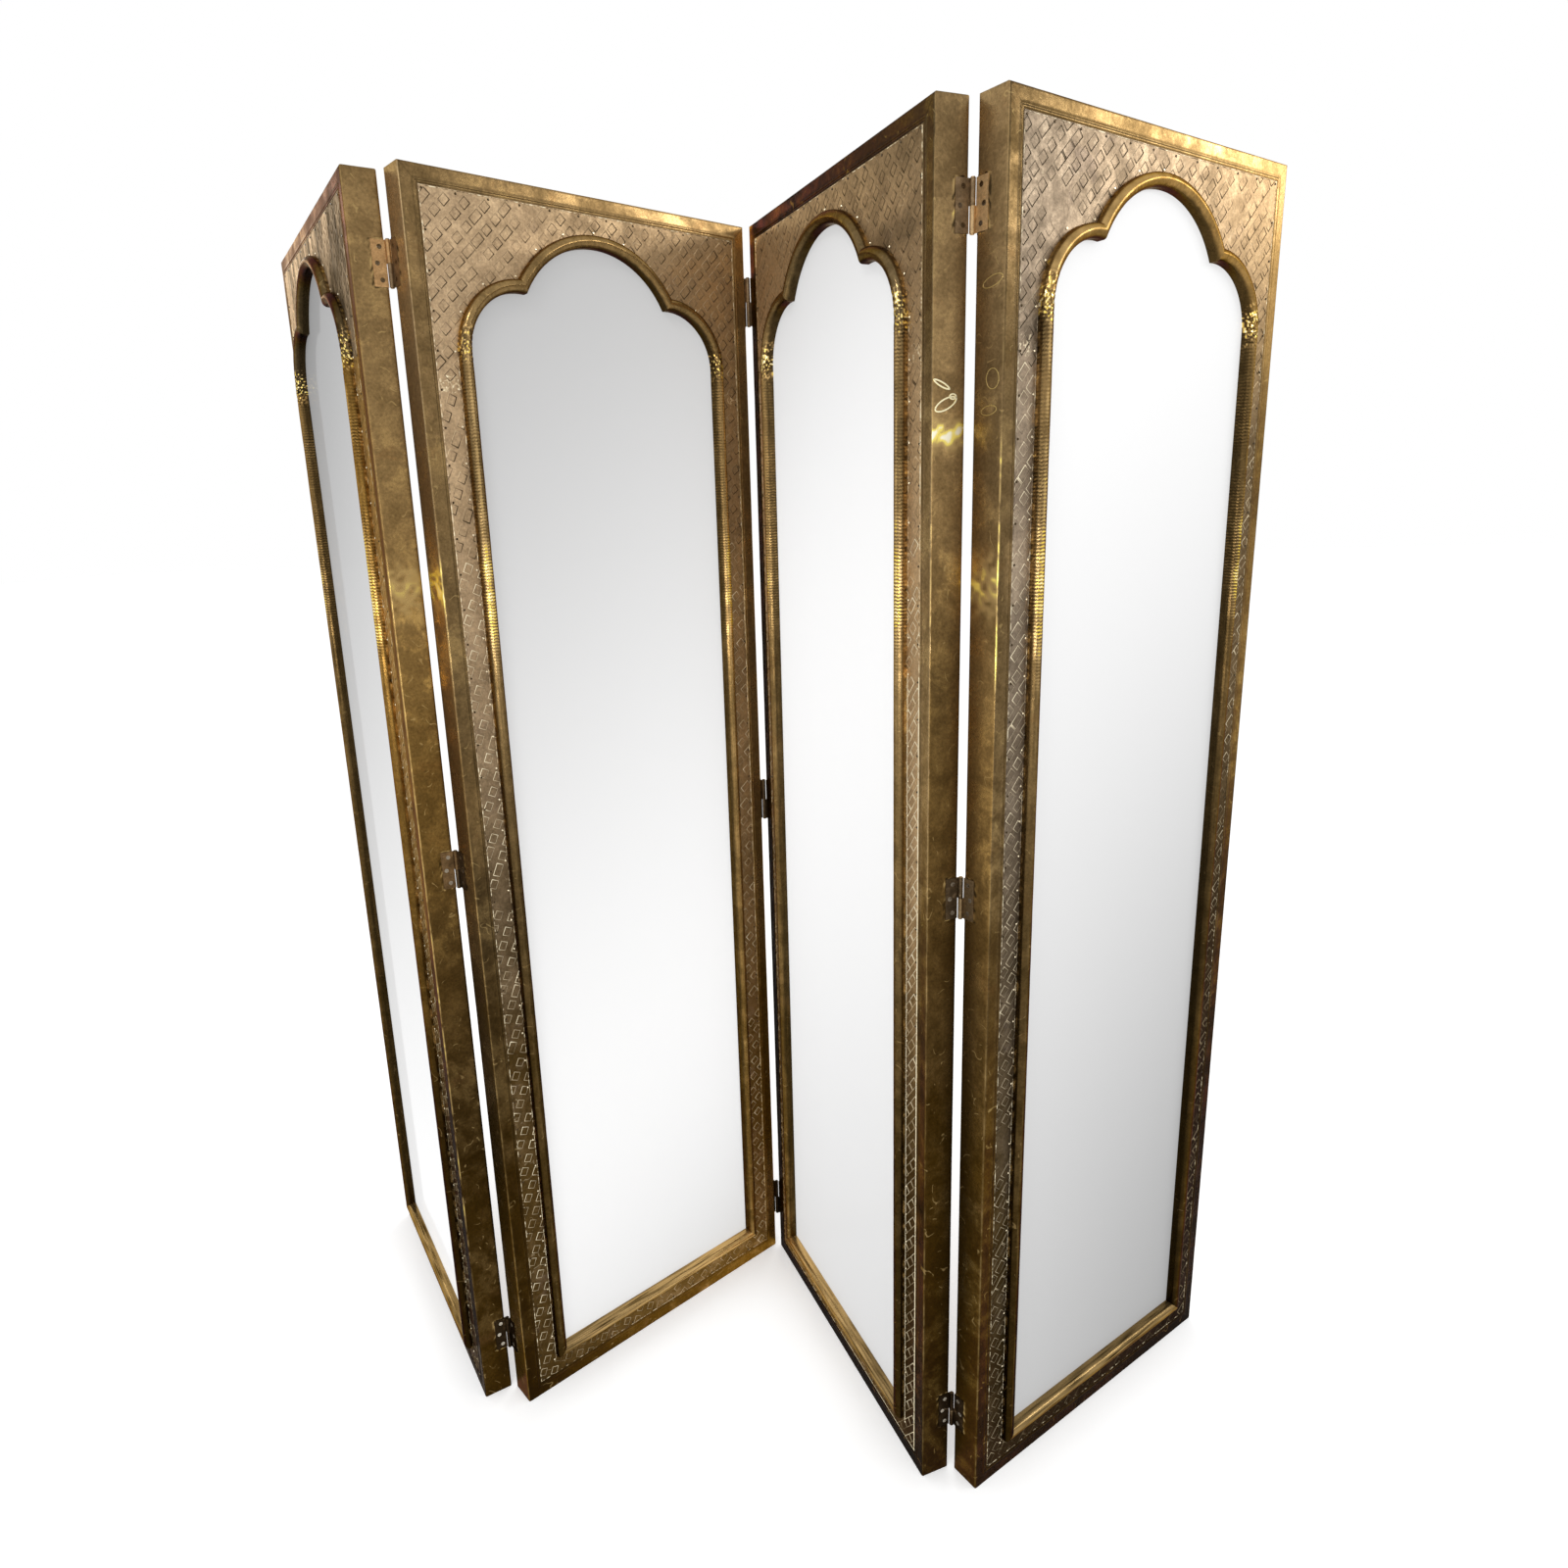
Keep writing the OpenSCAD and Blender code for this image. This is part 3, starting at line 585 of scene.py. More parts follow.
# Points across the border, from the field round the edge to the back: inset from the edge, depth, line
def borderSection():
    r = border["cornerRound"]
    lip = border["wide"]
    fold = border["foldLine"]
    sunk = border["sunk"]
    back = deep - sunk
    # The rounded corners, front and back, carry a painted highlight half way round
    corner = [(r - r * math.sin(angle), r - r * math.cos(angle), math.sin(2 * angle))
              for angle in (math.radians(18 * i) for i in range(6))]
    # The lip and the fold line carry painted highlights on their crests and painted shadow lines beside them
    points = [(lip, 0.95 * mm, 0.2), (lip, sunk, 0.4), (lip - 0.4 * mm, 0.05 * mm, 1.0),
              (lip - 1.1 * mm, sunk, 0.2), (lip - 2.6 * mm, 0.5 * mm, 0.5), (fold + 1.0 * mm, 0.5 * mm, 0.15),
              (fold + 0.3 * mm, 0.02 * mm, 0.9), (fold - 0.6 * mm, 0.02 * mm, 0.65),
              (fold - 1.6 * mm, sunk, 0.45)]
    points += [(inset * mm, sunk, 0.5) for inset in (15.5, 12.5, 9.5, 6.5, 4.0)]
    points += [(sunk + inset, sunk + depth, 0.5 + 0.5 * shine) for inset, depth, shine in corner]
    points += [(sunk, depth, 0.5) for depth in steps(r + sunk, deep - r - sunk, 3 * mm)[1:]]
    points += [(sunk + depth, back - inset, 0.5 + 0.3 * shine) for inset, depth, shine in corner]
    points += [(8 * mm, back, 0.5), (border["turn"], back, 0.4), (border["turn"], deep - 0.9 * mm, 0.2)]
    return points


def sideGlow(k, side, along, depth):
    if (k, side) not in glows:
        return 0.0
    height, reach, strength, limit = glows[k, side]
    patch = 0.6 + 0.8 * ripple(along, depth, k, 12 * mm) + 0.8 * ripple(along, depth * 0.4, k, 4 * mm)
    return min(strength * bell(along, height, reach) * clamp(patch), limit)


# Where the leaves of a pair's hinges lie on a panel's side: low, high, front and back of each
def leafWindows(pair, k):
    half = "left" if pair.endswith(str(k + 1)) else "right"
    low, high = localBox(f"{pair}_{half}_leaves", places[k])
    groups = []
    for z in sorted({round(v.co.z, 4) for v in nodes[f"{pair}_left_leaves"].data.vertices}):
        if not groups or z - groups[-1][-1] > 0.15:
            groups.append([])
        groups[-1].append(z)
    fit = border["leafFit"]
    front, back = (-0.01, high.y + fit) if low.y < 0 else (low.y - fit, deep + 0.01)
    return [(group[0] - fit, group[-1] + fit, front, back) for group in groups]


def borderLength(k, side, windows):
    section = borderSection()
    length = tall if side in ("left", "right") else wide
    if side == "foot":
        section = [point for point in section if point[0] > 3 * mm and point[1] < 1 * mm]
        section += [(0.3 * mm, border["sunk"], 0.5), (0.0, 0.9 * mm, 0.3)]
    stops = set(steps(0.0, length, border["rowStep"])) | {length}
    for low, high, front, back in windows:
        stops = {stop for stop in stops
                 if not (low - 4 * mm < stop < low + 3 * mm or high - 3 * mm < stop < high + 4 * mm)}
        stops |= {low - 2.6 * mm, low - 1.5 * mm, low, high, high + 1.5 * mm, high + 2.6 * mm}
    stops = sorted(stops)

    def setInPlace(column, row):
        inset, depth, line = section[column]
        start = inset + border["seam"]
        if side == "foot":
            start = max(start, borderRound)
        along = clamp(stops[row], start, length - start)
        spot = ripple(along + 3 * k, depth + inset, 0.3 * len(side), 60 * mm)
        spot += 0.5 * ripple(along, depth - inset, 1.7 * k, 22 * mm)
        dent = border["wave"] * clamp(spot)
        lift = 0.0  # the sheet is lifted round a hinge leaf
        for low, high, front, back in windows if inset < 1 * mm else []:
            nearRow = min(abs(stops[row] - low + 0.75 * mm), abs(stops[row] - high - 0.75 * mm)) < 0.8 * mm
            nearColumn = min(abs(depth - front), abs(depth - back)) < 2.4 * mm
            if nearRow and front - 1 * mm < depth < back + 1 * mm:
                lift = border["sunk"]
            elif nearColumn and low - 0.1 * mm < stops[row] < high + 0.1 * mm:
                lift = 0.8 * border["sunk"]
        # painted highlight along the rounded corners
        if line > 0.5:
            gleam = 0.7 + ripple(along, 1.3 * k, len(side), 45 * mm) + 0.8 * ripple(along, k, 2.0, 7 * mm)
            low, high, strength = cornerGleams.get((k, side), otherCornerGleam)
            if not low < along < high or max(inset, depth) >= borderRound:
                strength = 0.35
            line = 0.5 + (line - 0.5) * clamp(gleam, 0.0, 1.6) * strength
        if along != stops[row]:
            line = 0.35  # dark mitre
        # painted highlights and shade on the lip lifted round a hinge leaf
        if lift:
            line = 0.5 + 1.5 * ripple(along, depth, k, 4 * mm)
            dent = 0.0
        if depth < 1 * mm:
            depth += dent
        elif inset < 1 * mm:
            inset += dent - lift
            # painted highlight on the side
            line += sideGlow(k, side, along, depth)
        if side in ("left", "right"):
            return Vector((inset if side == "left" else wide - inset, depth, along)), line
        return Vector((along, depth, tall - inset if side == "head" else inset)), line

    bm = shapedGrid(len(section) - 1, len(stops) - 1, setInPlace)
    cut = []
    for face in bm.faces:
        centre = face.calc_center_median()
        inset = centre.x if side == "left" else wide - centre.x
        for low, high, front, back in windows:
            if low < centre.z < high and front < centre.y < back and inset < 1.7 * mm:
                cut.append(face)
                break
    bmesh.ops.delete(bm, geom=cut, context="FACES")
    return bm


def backStrip():
    def setInPlace(column, row):
        inset = border["turn"] * (1 - column / 3)
        start = max(inset + border["seam"], borderRound)
        along = clamp(wide * row / 60, start, wide - start)
        return Vector((along, deep - border["sunk"], inset)), 0.5
    return shapedGrid(3, 60, setInPlace)


def joined(parts):
    whole = bmesh.new()
    whole.verts.layers.float.new("line")
    for part in parts:
        mesh = meshFrom(part, "part")
        whole.from_mesh(mesh)
        bpy.data.meshes.remove(mesh)
    return whole


# An outline struck into the sheet, made of rings: how far each lies inside the last, its height and its line
def outlineStamp(square, size, rings):
    bm = bmesh.new()
    if square:
        bmesh.ops.create_grid(bm, x_segments=1, y_segments=1, size=0.5)
    else:
        bmesh.ops.create_circle(bm, cap_ends=True, segments=20, radius=0.5)
    layer = bm.verts.layers.float.new("line")
    bmesh.ops.scale(bm, verts=bm.verts, vec=(size[0], size[1], 1))
    if square:
        bmesh.ops.bevel(bm, geom=bm.verts[:], affect="VERTICES", offset=0.7 * mm, segments=1, profile=0.5,
                        material=-1)
    face = bm.faces[:]
    for step, height, line in rings:
        if step:
            bmesh.ops.inset_region(bm, faces=face, thickness=step * mm, depth=0, use_boundary=True,
                                   use_even_offset=True)
        for v in face[0].verts:
            v.co.z = height * mm
            v[layer] = line
    bmesh.ops.delete(bm, geom=face, context="FACES")
    return meshFrom(bm, "outlineStamp")


# Loops knocked into the sides: side, distance from the front, height, length, height of the loop, slant
sideMarks = {
    3: [("right", 20, 1641, 36, 15, 26), ("right", 30, 1650, 12, 9, 0), ("right", 14, 1664, 28, 8, -25)],
    4: [("left", 20, 1776, 34, 14, 12), ("left", 17, 1667, 22, 26, 10), ("left", 22, 1631, 27, 13, 5)],
}
# The crests of the loops carry a painted highlight, with painted shade in the grooves beside them
markCrests = {3: (2.0, 1.7), 4: (1.15, 0.9)}  # how bright and how broad


def markSides(bm, k):
    for side, depth, height, length, rise, slant in sideMarks.get(k, []):
        crest, broad = markCrests[k]
        rings = ((0, -0.1, 0.5), (0.3, 0.02, 0.3), (0.3, 0.3, crest), (broad, 0.3, crest), (0.3, 0.02, 0.2),
                 (0.6, -0.1, 0.5))
        stamp = outlineStamp(False, (length * mm, rise * mm), rings)
        surface = border["sunk"] + 0.05 * mm
        x, outward = (wide - surface, 90) if side == "right" else (surface, -90)
        place = Matrix.Translation((x, depth * mm, height * mm)) @ turned(outward, "Z")
        addStamp(bm, stamp, place @ turned(90, "X") @ turned(slant, "Z"))
        bpy.data.meshes.remove(stamp)
    return bm


pairs = {1: {"right": "hinge_12"}, 2: {"left": "hinge_12", "right": "hinge_23"},
         3: {"left": "hinge_23", "right": "hinge_34"}, 4: {"left": "hinge_34"}}
for k in panelNumbers:
    parts = []
    for side in ("left", "right", "head", "foot"):
        pair = pairs[k].get(side)
        parts.append(borderLength(k, side, leafWindows(pair, k) if pair else []))
    parts.append(backStrip())
    finishPiece(markSides(joined(parts), k), f"borderSheet{k}", k, "borderBrassLined", [f"edge_cladding_{k}"])
print("borders made")

# Field of embossed brass between the border and the moulding
field = {"cell": 5 * mm, "sunk": 0.28 * mm, "wave": 0.12 * mm}


def fieldDepth(k, x, z):
    swell = 0.5 + 0.6 * ripple(x, k, z, 45 * mm) + 0.3 * ripple(x, z, k, 14 * mm)
    return fieldFront + field["sunk"] + field["wave"] * clamp(swell)


def fieldSheet(k):
    columns = round((wide - 2 * fieldEdge) / field["cell"])
    rows = round((tall - 2 * fieldEdge) / field["cell"])

    def setInPlace(column, row):
        x = fieldEdge + (wide - 2 * fieldEdge) * column / columns
        z = fieldEdge + (tall - 2 * fieldEdge) * row / rows
        return Vector((x, fieldDepth(k, x, z), z)), 0.5

    bm = shapedGrid(columns, rows, setInPlace)
    hidden = [f for f in bm.faces if insideOpening(*f.calc_center_median().xz, arch["beadWide"] / 2)]
    bmesh.ops.delete(bm, geom=hidden, context="FACES")
    return bm


for k in panelNumbers:
    finishPiece(fieldSheet(k), f"fieldSheet{k}", k, "fieldBrassLined", [f"field_sheet_{k}"])

# Squares struck into the field. Spandrels and side strips are cut apart, so their rows slant differently
emboss = {
    "pitch": 21 * mm, "stripPitch": {2: 23.5 * mm}, "square": (15.2 * mm, 13.2 * mm), "jitter": 0.9 * mm,
    "headTurn": 45.0, "stripTurns": {1: (45, 30), 2: (66, 38), 3: (40, 52), 4: (48, 42)},
    "stripStart": 42 * mm, "seamDrop": 275 * mm, "archClear": 13 * mm, "rubbed": 0.5, "worn": 0.15,
    # painted highlights on the squares: height below which they are bright, how strongly each panel's strips
    # shine, less at the foot and low down
    "brightBelow": {1: 1.47, 2: 1.47, 3: 1.47, 4: 1.68}, "shine": {1: 1.0, 2: 1.15, 3: 1.7, 4: 1.0},
    "footShine": 0.4, "lowShine": {3: 0.65, 4: 0.65}, "lowBelow": 0.8, "litReach": 12 * mm,
    "longer": 0.45, "longStrip": (3, "right"), "longBelow": 1.3,
}


# How bright the painted highlights on the squares of a strip are
def stripShine(k, x, z):
    shine = emboss["shine"][k]
    if z < beadFoot and beadFoot < x < wide - beadFoot:
        shine *= emboss["footShine"]
    if z < emboss["lowBelow"]:
        shine *= emboss["lowShine"].get(k, 1.0)
    return shine


def embossRegion(bm, layer, k, region):
    strip = region != "head"
    turn = emboss["headTurn"]
    pitch = emboss["pitch"]
    start = 0.0
    if strip:
        turn = emboss["stripTurns"][k][0 if region == "left" else 1]
        pitch = emboss["stripPitch"].get(k, pitch)
        start = emboss["stripStart"] if region == "left" else wide - emboss["stripStart"]
    turn = math.radians(turn)
    seam = tall - emboss["seamDrop"]
    reach = int(tall / emboss["pitch"]) + 4
    for i, j in itertools.product(range(-reach, reach), repeat=2):
        shift = ripple(i, j, k, 3.1)
        x = start + pitch * (i * math.cos(turn) + j * math.sin(turn)) + emboss["jitter"] * shift
        z = tall / 2 + pitch * (i * math.sin(turn) - j * math.cos(turn)) + emboss["jitter"] * shift
        if not (fieldEdge < x < wide - fieldEdge and fieldEdge < z < tall - fieldEdge):
            continue
        if strip == (z > seam) or insideOpening(x, z, emboss["archClear"]):
            continue
        if strip and (x < middle) != (region == "left"):
            continue
        rubbed = ripple(x, k, z, 70 * mm) + 0.35 * ripple(i, k, j, 0.7)
        if rubbed > emboss["rubbed"]:
            continue
        stretch = 1.0 + 0.06 * ripple(i, j, k, 0.9)
        allLong = (k, region) == emboss["longStrip"] and z < emboss["longBelow"]
        if allLong or ripple(i, k, j, 1.3) > 0.7 - 0.15 * k:
            stretch += emboss["longer"]
        height = 1.0 - 1.5 * max(rubbed - emboss["worn"], 0.0)
        shine = stripShine(k, x, z) if strip else 1.0
        stamp = brightStamp if strip and z < emboss["brightBelow"][k] else darkStamp
        place = Matrix.Translation((x, 0, z)) @ turned(90, "X")
        place = place @ Matrix.Rotation(turn + 0.08 * shift, 4, "Z")
        for v in addStamp(bm, stamp, place @ Matrix.Diagonal((stretch, 1, height, 1))):
            lit = (x - v.co.x + v.co.z - z) / emboss["litReach"]  # the upper left catches the light
            if abs(v[layer] - 0.5) > 0.01:
                v[layer] += 0.22 * lit + 0.5 * ripple(v.co.x, k, v.co.z, 5 * mm)
            v[layer] = 0.5 + (v[layer] - 0.5) * height * (shine if v[layer] > 0.6 else 1.0)
            v.co.y += fieldDepth(k, v.co.x, v.co.z)


def embossedSquares(k):
    bm = bmesh.new()
    layer = bm.verts.layers.float.new("line")
    for region in ("head", "left", "right"):
        embossRegion(bm, layer, k, region)
    rim = fieldEdge + 0.3 * mm  # nothing of a square reaches past the edge of the field
    low = (rim, 0, rim)
    high = (wide - rim, 0, tall - rim)
    for corner, outwards in ((low, (-1, 0, 0)), (high, (1, 0, 0)), (low, (0, 0, -1)), (high, (0, 0, 1))):
        bmesh.ops.bisect_plane(bm, geom=bm.verts[:] + bm.edges[:] + bm.faces[:], plane_co=corner,
                               plane_no=outwards, clear_outer=True)
    return bm


# Crinkled lips of the strips: beside the border, at the foot of the moulding and where two sheets meet
trim = {
    "wide": 1.6 * mm, "high": 0.4 * mm, "step": 2.2 * mm, "borderReach": 30 * mm, "besideBead": 2.2 * mm,
    "wideStrip": 3, "wideTimes": 2.2, "wideAway": 2 * mm,  # the right strip of this panel has wide lips
}
crumple = {"high": 30 * mm, "cell": 1.3 * mm, "fold": 5 * mm, "raised": 0.6 * mm}


# How bright a lip is at a place: wear and painted highlights
def trimGleam(k, x, z):
    atBorder = min(x, wide - x, z, tall - z) < trim["borderReach"]
    if k == trim["wideStrip"] and x > middle:
        return 1.7 if z < 1.3 else 0.5 if atBorder else 0.1
    if atBorder:
        return 0.35
    return 0.7 if z < 0.7 else 0.2


def trimLength(k, start, end, inward):
    start = Vector(start)
    end = Vector(end)
    rows = round((end - start).length / trim["step"])
    across = trim["wide"] * (trim["wideTimes"] if k == trim["wideStrip"] and start.x > middle else 1.0)

    def setInPlace(column, row):
        place = start + (end - start) * row / rows
        x, z = place + Vector(inward) * across * column / 3
        # the raised lip is bright with wear and painted highlights, the sheet beside it darker with painted
        # shade
        raised = column in (1, 2)
        gleam = 0.4 + 1.1 * ripple(x, z, k, 9 * mm) + 1.5 * ripple(z, x, k, 3.5 * mm) + trimGleam(k, x, z)
        y = fieldDepth(k, x, z) - (trim["high"] * clamp(0.5 + gleam, 0.3) if raised else -0.1 * mm)
        return Vector((x, y, z)), clamp(gleam, 0.1, 2.0) if raised else 0.3

    return shapedGrid(3, rows, setInPlace)


# Foil crumpled where a strip meets the sheet above it
def crumpledSeam(k, low, high, z):
    columns = round((high - low) / crumple["cell"])
    rows = round(crumple["high"] / crumple["cell"])

    def setInPlace(column, row):
        x = low + (high - low) * column / columns
        up = z + crumple["high"] * (row / rows - 0.5)
        ebb = (1 - (2 * row / rows - 1) ** 2) * min(column, columns - column, 1)
        crease = 1.0 - 3.0 * abs(ripple(x, k, up, crumple["fold"])) - 1.2 * abs(ripple(up, k, x, 9 * mm))
        lifted = max(crease, 0.0) * ebb
        # painted glints on the crests of the crinkles and painted shade between them
        spark = 0.5 + (crease - 0.3) * 1.4 * ebb + 2.0 * max(ripple(up, x, k, 3 * mm) - 0.2, 0.0)
        y = fieldDepth(k, x, up) + 0.1 * mm - crumple["raised"] * lifted
        return Vector((x, y, up)), clamp(spark, 0.15, 1.8)

    return shapedGrid(columns, rows, setInPlace)


def trims(k):
    low = fieldEdge + 0.4 * mm
    right = wide - low
    high = tall - low
    seam = tall - emboss["seamDrop"]
    foot = beadFoot - trim["besideBead"]
    beside = wide - foot + (trim["wideAway"] if k == trim["wideStrip"] else 0)
    lengths = [((low, low), (low, high), (1, 0)), ((right, low), (right, high), (-1, 0)),
               ((low, low), (right, low), (0, 1)), ((low, high), (right, high), (0, -1)),
               ((foot, foot), (foot, springing), (1, 0)), ((beside, foot), (beside, springing), (-1, 0))]
    seams = [(low + 1 * mm, foot), (wide - foot, right - 1 * mm)]
    return [trimLength(k, *length) for length in lengths] + [crumpledSeam(k, *ends, seam) for ends in seams]


# Square outlines: the dark ones are painted shade; the bright ones have a painted highlight on the crest and
# painted shade in the grooves beside it
darkStamp = outlineStamp(True, emboss["square"], [(0, -0.1, 0.5), (0.3, 0.03, 0.62), (0.45, 0.3, 0.16),
                                                  (0.6, 0.45, 0.14), (0.4, 0.02, 0.2), (0.4, -0.1, 0.5)])
brightStamp = outlineStamp(True, emboss["square"], [(0, -0.1, 0.5), (0.3, 0.03, 0.15), (0.4, 0.4, 1.15),
                                                    (0.5, 0.45, 1.1), (0.5, 0.02, 0.1), (0.4, -0.1, 0.5)])
for k in panelNumbers:
    finishPiece(joined([embossedSquares(k)] + trims(k)), f"embossing{k}", k, "fieldBrassLined",
                smooth=60)
print("fields made")

# Half-round moulding covered with wrinkled brass
bead = {
    "side": 4.5 * mm, "round": 9 * mm, "arcSteps": 16, "fineStep": 1.15 * mm, "plainStep": 9 * mm,
    "footStep": 3 * mm, "crownStep": 2 * mm, "waveDeep": 0.25 * mm,
    "rippleLow": 1.28, "ripplePitch": 4.6 * mm, "rippleDeep": 0.2 * mm, "rippleColour": 0.75,
    "creaseRise": 10 * mm, "creaseDeep": 0.72 * mm, "creaseReach": 38 * mm,
    # painted glints: on the crinkles at the springing, and half way up the sides with glow, its height and
    # reach
    "flecks": {1: 22.0, 2: 10.0, 3: 22.0, 4: 22.0}, "glow": 3.8, "glowHeight": 1.41, "glowReach": 0.07,
    # painted highlight streak along the share across that faces the viewer; painted shade on the inner flank
    # beyond inside, less on the arches' left halves; one arch's left flank has a painted highlight
    "facing": 0.42,  # the share across that faces the viewer
    "inside": 0.6, "leftShade": {1: 1.0, 2: 0.6, 3: 0.6, 4: 0.6}, "paleArch": 4,
}


# Points across the moulding from its outer foot to the glass: distance outward, height, direction of its face
def beadSection():
    w = arch["beadWide"]
    points = [(w, -0.8 * mm, 1.0, 0.0), (w, bead["side"] / 2, 1.0, 0.0)]
    for i in range(bead["arcSteps"] + 1):
        angle = math.pi * i / bead["arcSteps"]
        c = math.cos(angle)
        s = math.sin(angle)
        points.append((w / 2 + bead["round"] * c, bead["side"] + bead["round"] * s, c, s))
    return points + [(0.0, height, -1.0, 0.0)
                     for height in (bead["side"] / 2, 0.0, fieldFront - mirrorFront + 0.1 * mm)]


beadPoints = beadSection()


def beadRows(part):
    if part.endswith("Side"):
        plain = steps(beadFoot, bead["rippleLow"], bead["plainStep"])
        return plain + steps(bead["rippleLow"], springing, bead["fineStep"]) + [springing]
    if part == "foot":
        return steps(beadFoot, wide - beadFoot, bead["footStep"]) + [wide - beadFoot]
    size, radius, angle = bead["fineStep"], arch["shoulderRadius"], 1.9
    if part == "crown":
        size, radius, angle = bead["crownStep"], arch["crownRadius"], 2.4
    return steps(0.0, 1.0, size / ((radius + arch["beadWide"] / 2) * angle)) + [1.0]


def beadPlace(part, row, outward):
    edge = sight - outward
    start = edge + border["seam"]
    if part.endswith("Side"):
        return (edge if part == "leftSide" else wide - edge), max(row, start)
    if part == "foot":
        return clamp(row, start, wide - start), edge
    corner = cusp(outward)
    if part == "crown":
        start = math.atan2(corner.y - crownZ, corner.x)
        angle = start + (math.pi - 2 * start) * row
        radius = arch["crownRadius"] + outward
        return middle + radius * math.cos(angle), crownZ + radius * math.sin(angle)
    end = math.atan2(corner.y - springing, corner.x - shoulderX)
    radius = arch["shoulderRadius"] + outward
    x = shoulderX + radius * math.cos(end * row)
    z = springing + radius * math.sin(end * row)
    return (middle + x if part == "rightShoulder" else middle - x), z


def beadDepth(part, k, row, x, z, column):
    across = column / (len(beadPoints) - 1)
    seed = 2.3 * k + 0.7 * len(part)
    depth = bead["waveDeep"] * max(0.0, ripple(x, z, seed, 30 * mm))
    # fold lightens or darkens the moulding: painted highlights and painted shade on the wrinkles and flanks,
    # with wear
    fold = 0.0  # above 0 on the crests of the wrinkles, below 0 in their valleys
    shine = 0.15
    if part.endswith("Side"):
        strength = clamp((z - bead["rippleLow"]) / 0.12) * (0.55 + 0.9 * ripple(seed, z, 0, 70 * mm))
        strength += 0.5 * clamp((z - 1.35) / 0.2) * max(0.0, ripple(z, seed, 1, 40 * mm))
        strength = max(strength, 0.0)
        sway = 2.2 * ripple(z, column * 0.02, seed, 16 * mm)
        wave = math.sin(2 * math.pi * row / bead["ripplePitch"] + sway)
        depth += bead["rippleDeep"] * strength * (0.5 + 0.5 * wave)
        # painted shade in the valleys of the wrinkles and painted highlights on their crests
        fold -= bead["rippleColour"] * strength * wave * (0.7 + 1.2 * ripple(z, column * 0.01, seed, 9 * mm))
        # painted glint half way up the sides, on the part facing the viewer
        glow = bead["glow"] * bell(z, bead["glowHeight"], bead["glowReach"])
        glow *= bell(across, bead["facing"], 0.24)
        fold += glow * (0.35 - 0.8 * min(wave, 0.4)) * (0.8 + 1.2 * ripple(z, seed, 3, 24 * mm))
        fold += 0.3 * ripple(z * 0.06, column * 0.004, seed, 3 * mm)
        # painted shade on both flanks
        fold -= 0.35 * (1.0 - bell(across, bead["facing"], 0.18))
        shine = (0.15 + 0.7 * clamp((z - 1.15) / 0.3)) * (0.7 + 1.0 * ripple(z, seed, 5, 26 * mm))
    # painted shade in the creases at the springing and painted glints on the crinkles
    near = 1.0 - abs(z - springing - bead["creaseRise"]) / bead["creaseReach"]
    if near > 0 and part != "foot":
        crease = max(0.0, 1.0 - abs(ripple(z, column * 0.006, seed, 7 * mm)) * 2.4)
        depth += bead["creaseDeep"] * min(near * 1.5, 1.0) * crease
        fleck = max(0.0, ripple(z, column * 0.004, seed, 3.5 * mm) - 0.1) * bead["flecks"][k]
        fold += min(near * 1.5, 1.0) * (0.15 - crease) + min(1.6 * near ** 2, 1.0) * fleck
    if part == "crown" or part.endswith("Shoulder"):
        depth += 0.12 * mm * max(0.0, ripple(x, z, seed + column * 0.01, 9 * mm))
        # painted shade on the inner flank of the arch
        shade = 1.0 if x > middle else bead["leftShade"][k]
        fold -= 0.75 * clamp((across - bead["inside"]) / 0.2) * shade
        fold += 0.3 * ripple(x, z, column * 0.004, 14 * mm)
        # painted highlight on the left outer flank of one arch
        if k == bead["paleArch"] and x < middle:
            fold += 0.5 * bell(across, 0.3, 0.15)
    # painted highlight streak along the part facing the viewer
    fold += shine * bell(across, bead["facing"], 0.06)
    if part == "foot":
        depth += 0.15 * mm * max(0.0, ripple(x, column * 0.01, seed, 12 * mm))
        # the foot moulding is lighter, with lengthwise streaks and a painted highlight towards the glass
        fold += 0.45 + 0.8 * ripple(x * 0.06, column * 0.004, seed, 3 * mm) + 0.2 * across
    else:
        # painted shade on the inner flank, and a painted highlight on the crinkled rim at the outer foot
        fold -= 0.45 * clamp((across - bead["inside"]) / 0.2)
        fold += (0.5 + 1.5 * ripple(x, z, seed, 6 * mm)) * clamp((0.1 - across) / 0.05)
    return depth, fold


def beadLength(part, k):
    rows = beadRows(part)

    def setInPlace(column, row):
        outward, height, faceOut, faceUp = beadPoints[column]
        x, z = beadPlace(part, rows[row], outward)
        depth, fold = beadDepth(part, k, rows[row], x, z, column)
        if column < 2 or column > len(beadPoints) - 3:
            depth = 0.0
        x, z = beadPlace(part, rows[row], outward - depth * faceOut)
        y = fieldFront - height + depth * faceUp
        return Vector((x, y, z)), clamp(0.5 + 0.5 * fold, 0.0, 2.2)

    return shapedGrid(len(beadPoints) - 1, len(rows) - 1, setInPlace)


beadKinds = {"archBead": (("crown", "leftShoulder", "rightShoulder"), "arch_moulding"),
             "straightBead": (("leftSide", "rightSide", "foot"), "straight_moulding")}
for k in panelNumbers:
    for name, (parts, replacing) in beadKinds.items():
        finishPiece(joined([beadLength(part, k) for part in parts]), f"{name}{k}", k, "mouldingBrassLined",
                    [f"{replacing}_{k}"], 50)
print("mouldings made")

# Studio: pale floor, white surroundings, soft lamps
studio = {"floorSize": 60.0, "white": (1, 1, 1, 1), "floorTone": (0.86, 0.86, 0.86, 1),
          "floorLight": (0.88, 0.88, 0.88, 1), "roomLight": 0.84, "floorFill": 0.36}


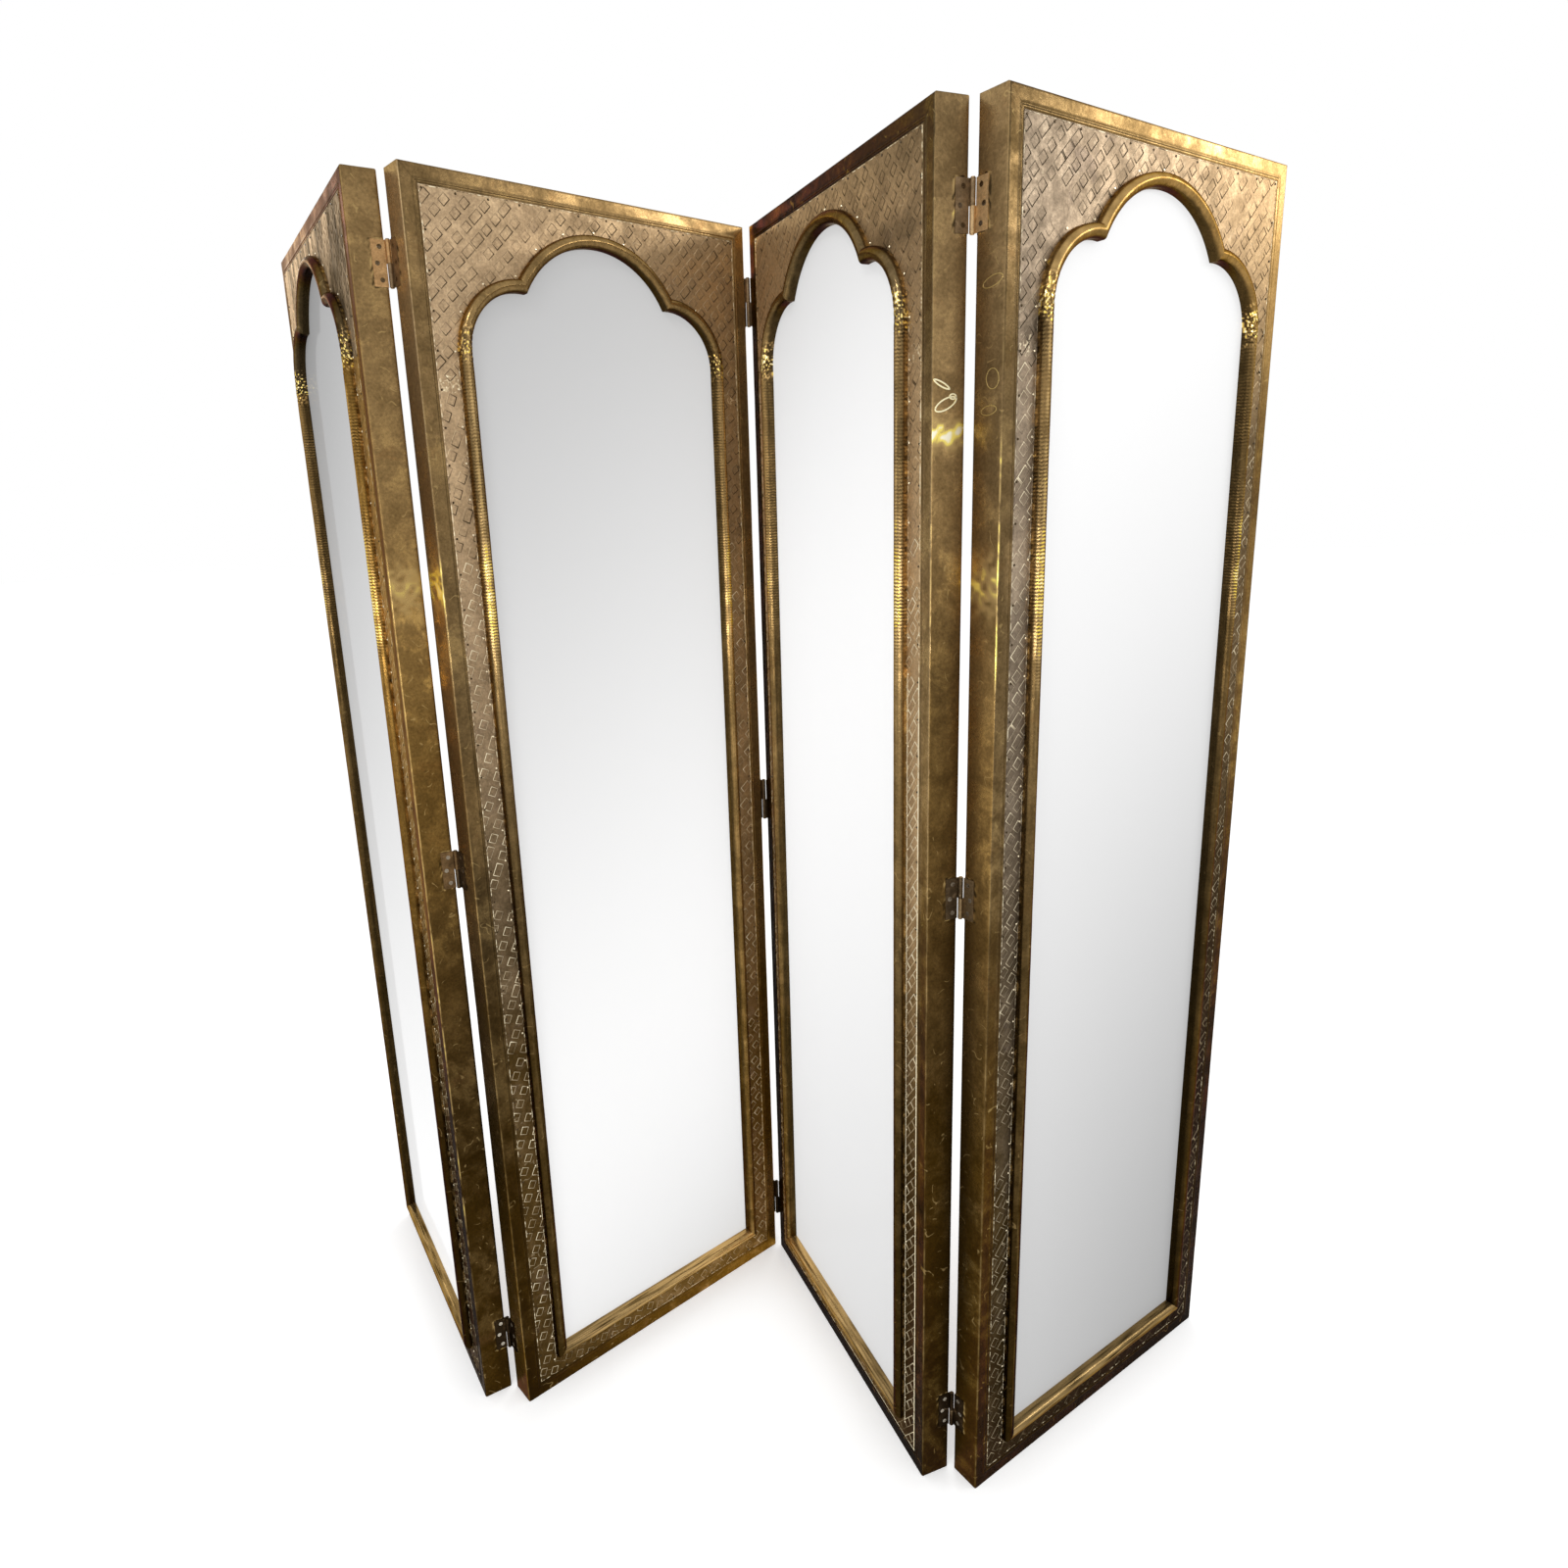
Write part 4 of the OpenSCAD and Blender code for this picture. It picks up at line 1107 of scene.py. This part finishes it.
# 1 where the eye, a reflection or glass looks straight at the surroundings
def seenDirectly(tree):
    rays = addNode(tree, "ShaderNodeLightPath").outputs
    direct = calc(tree, "MAXIMUM", rays["Is Camera Ray"], rays["Is Glossy Ray"])
    return calc(tree, "MAXIMUM", direct, rays["Is Transmission Ray"])


def buildFloor():
    tree, shader = newMaterial("paleFloor")
    clouds = cloudy(tree, objectPosition(tree), 3.0)
    tone = blendColour(tree, clouds, studio["floorTone"], studio["floorLight"])
    feedNamed(tree, shader, {
        "Base Color": tone, "Roughness": 0.9, "Specular IOR Level": 0.1, "Emission Color": studio["white"],
        "Emission Strength": times(tree, seenDirectly(tree), studio["floorFill"]),
    })
    bm = bmesh.new()
    bmesh.ops.create_grid(bm, x_segments=1, y_segments=1, size=studio["floorSize"] / 2)
    mesh = meshFrom(bm, "floor")
    mesh.materials.append(bpy.data.materials["paleFloor"])
    showObject("floor", mesh)


def buildWorld():
    world = bpy.data.worlds.new("whiteRoom")
    bpy.context.scene.world = world
    world.use_nodes = True
    tree = world.node_tree
    tree.nodes.clear()
    strength = span(tree, seenDirectly(tree), 0.0, 1.0, studio["roomLight"], 1.0)
    light = addFed(tree, "ShaderNodeBackground", studio["white"], strength)[0]
    addFed(tree, "ShaderNodeOutputWorld", light)


lamps = {
    "overheadLamp": {"at": (-0.3, -1.9, 3.3), "aim": (0, 0, 1.3), "size": (0.5, 0.4), "watts": 10},
    "lowStrip": {"at": (0.1, -3.2, 1.02), "aim": (0, 0, 1.25), "size": (2.6, 0.12), "watts": 20},
    "rightStrip": {"at": (3.2, 0.1, 2.65), "aim": (0.3, 0, 1.7), "size": (1.5, 0.4), "watts": 16},
    "leftStrip": {"at": (-2.9, 1.7, 2.65), "aim": (-0.3, 0, 1.7), "size": (1.3, 0.4), "watts": 5},
    "backLamp": {"at": (0.0, 2.8, 2.6), "aim": (0, 0, 1.0), "size": (1.0, 0.8), "watts": 14},
}


def addLamp(name, look):
    light = bpy.data.lights.new(name, "AREA")
    light.shape = "RECTANGLE"
    light.size, light.size_y = look["size"]
    light.energy = look["watts"]
    lamp = showObject(name, light)
    lamp.location = look["at"]
    lamp.rotation_euler = (Vector(look["aim"]) - Vector(look["at"])).to_track_quat("-Z", "Y").to_euler()


buildFloor()
buildWorld()
for name, look in lamps.items():
    addLamp(name, look)

view = {"at": (0.42986, -1.57427, 1.52161), "turn": (75.8678, 1.7855, 12.5115), "lens": 23.2584,
        "shift": (0.013309, -0.011811)}
camera = bpy.data.cameras.new("camera")
camera.lens = view["lens"]
camera.shift_x, camera.shift_y = view["shift"]
cameraObject = showObject("camera", camera)
cameraObject.location = view["at"]
cameraObject.rotation_euler = [math.radians(angle) for angle in view["turn"]]
bpy.context.scene.camera = cameraObject
bpy.context.scene.view_settings.view_transform = "Standard"
print("studio made")
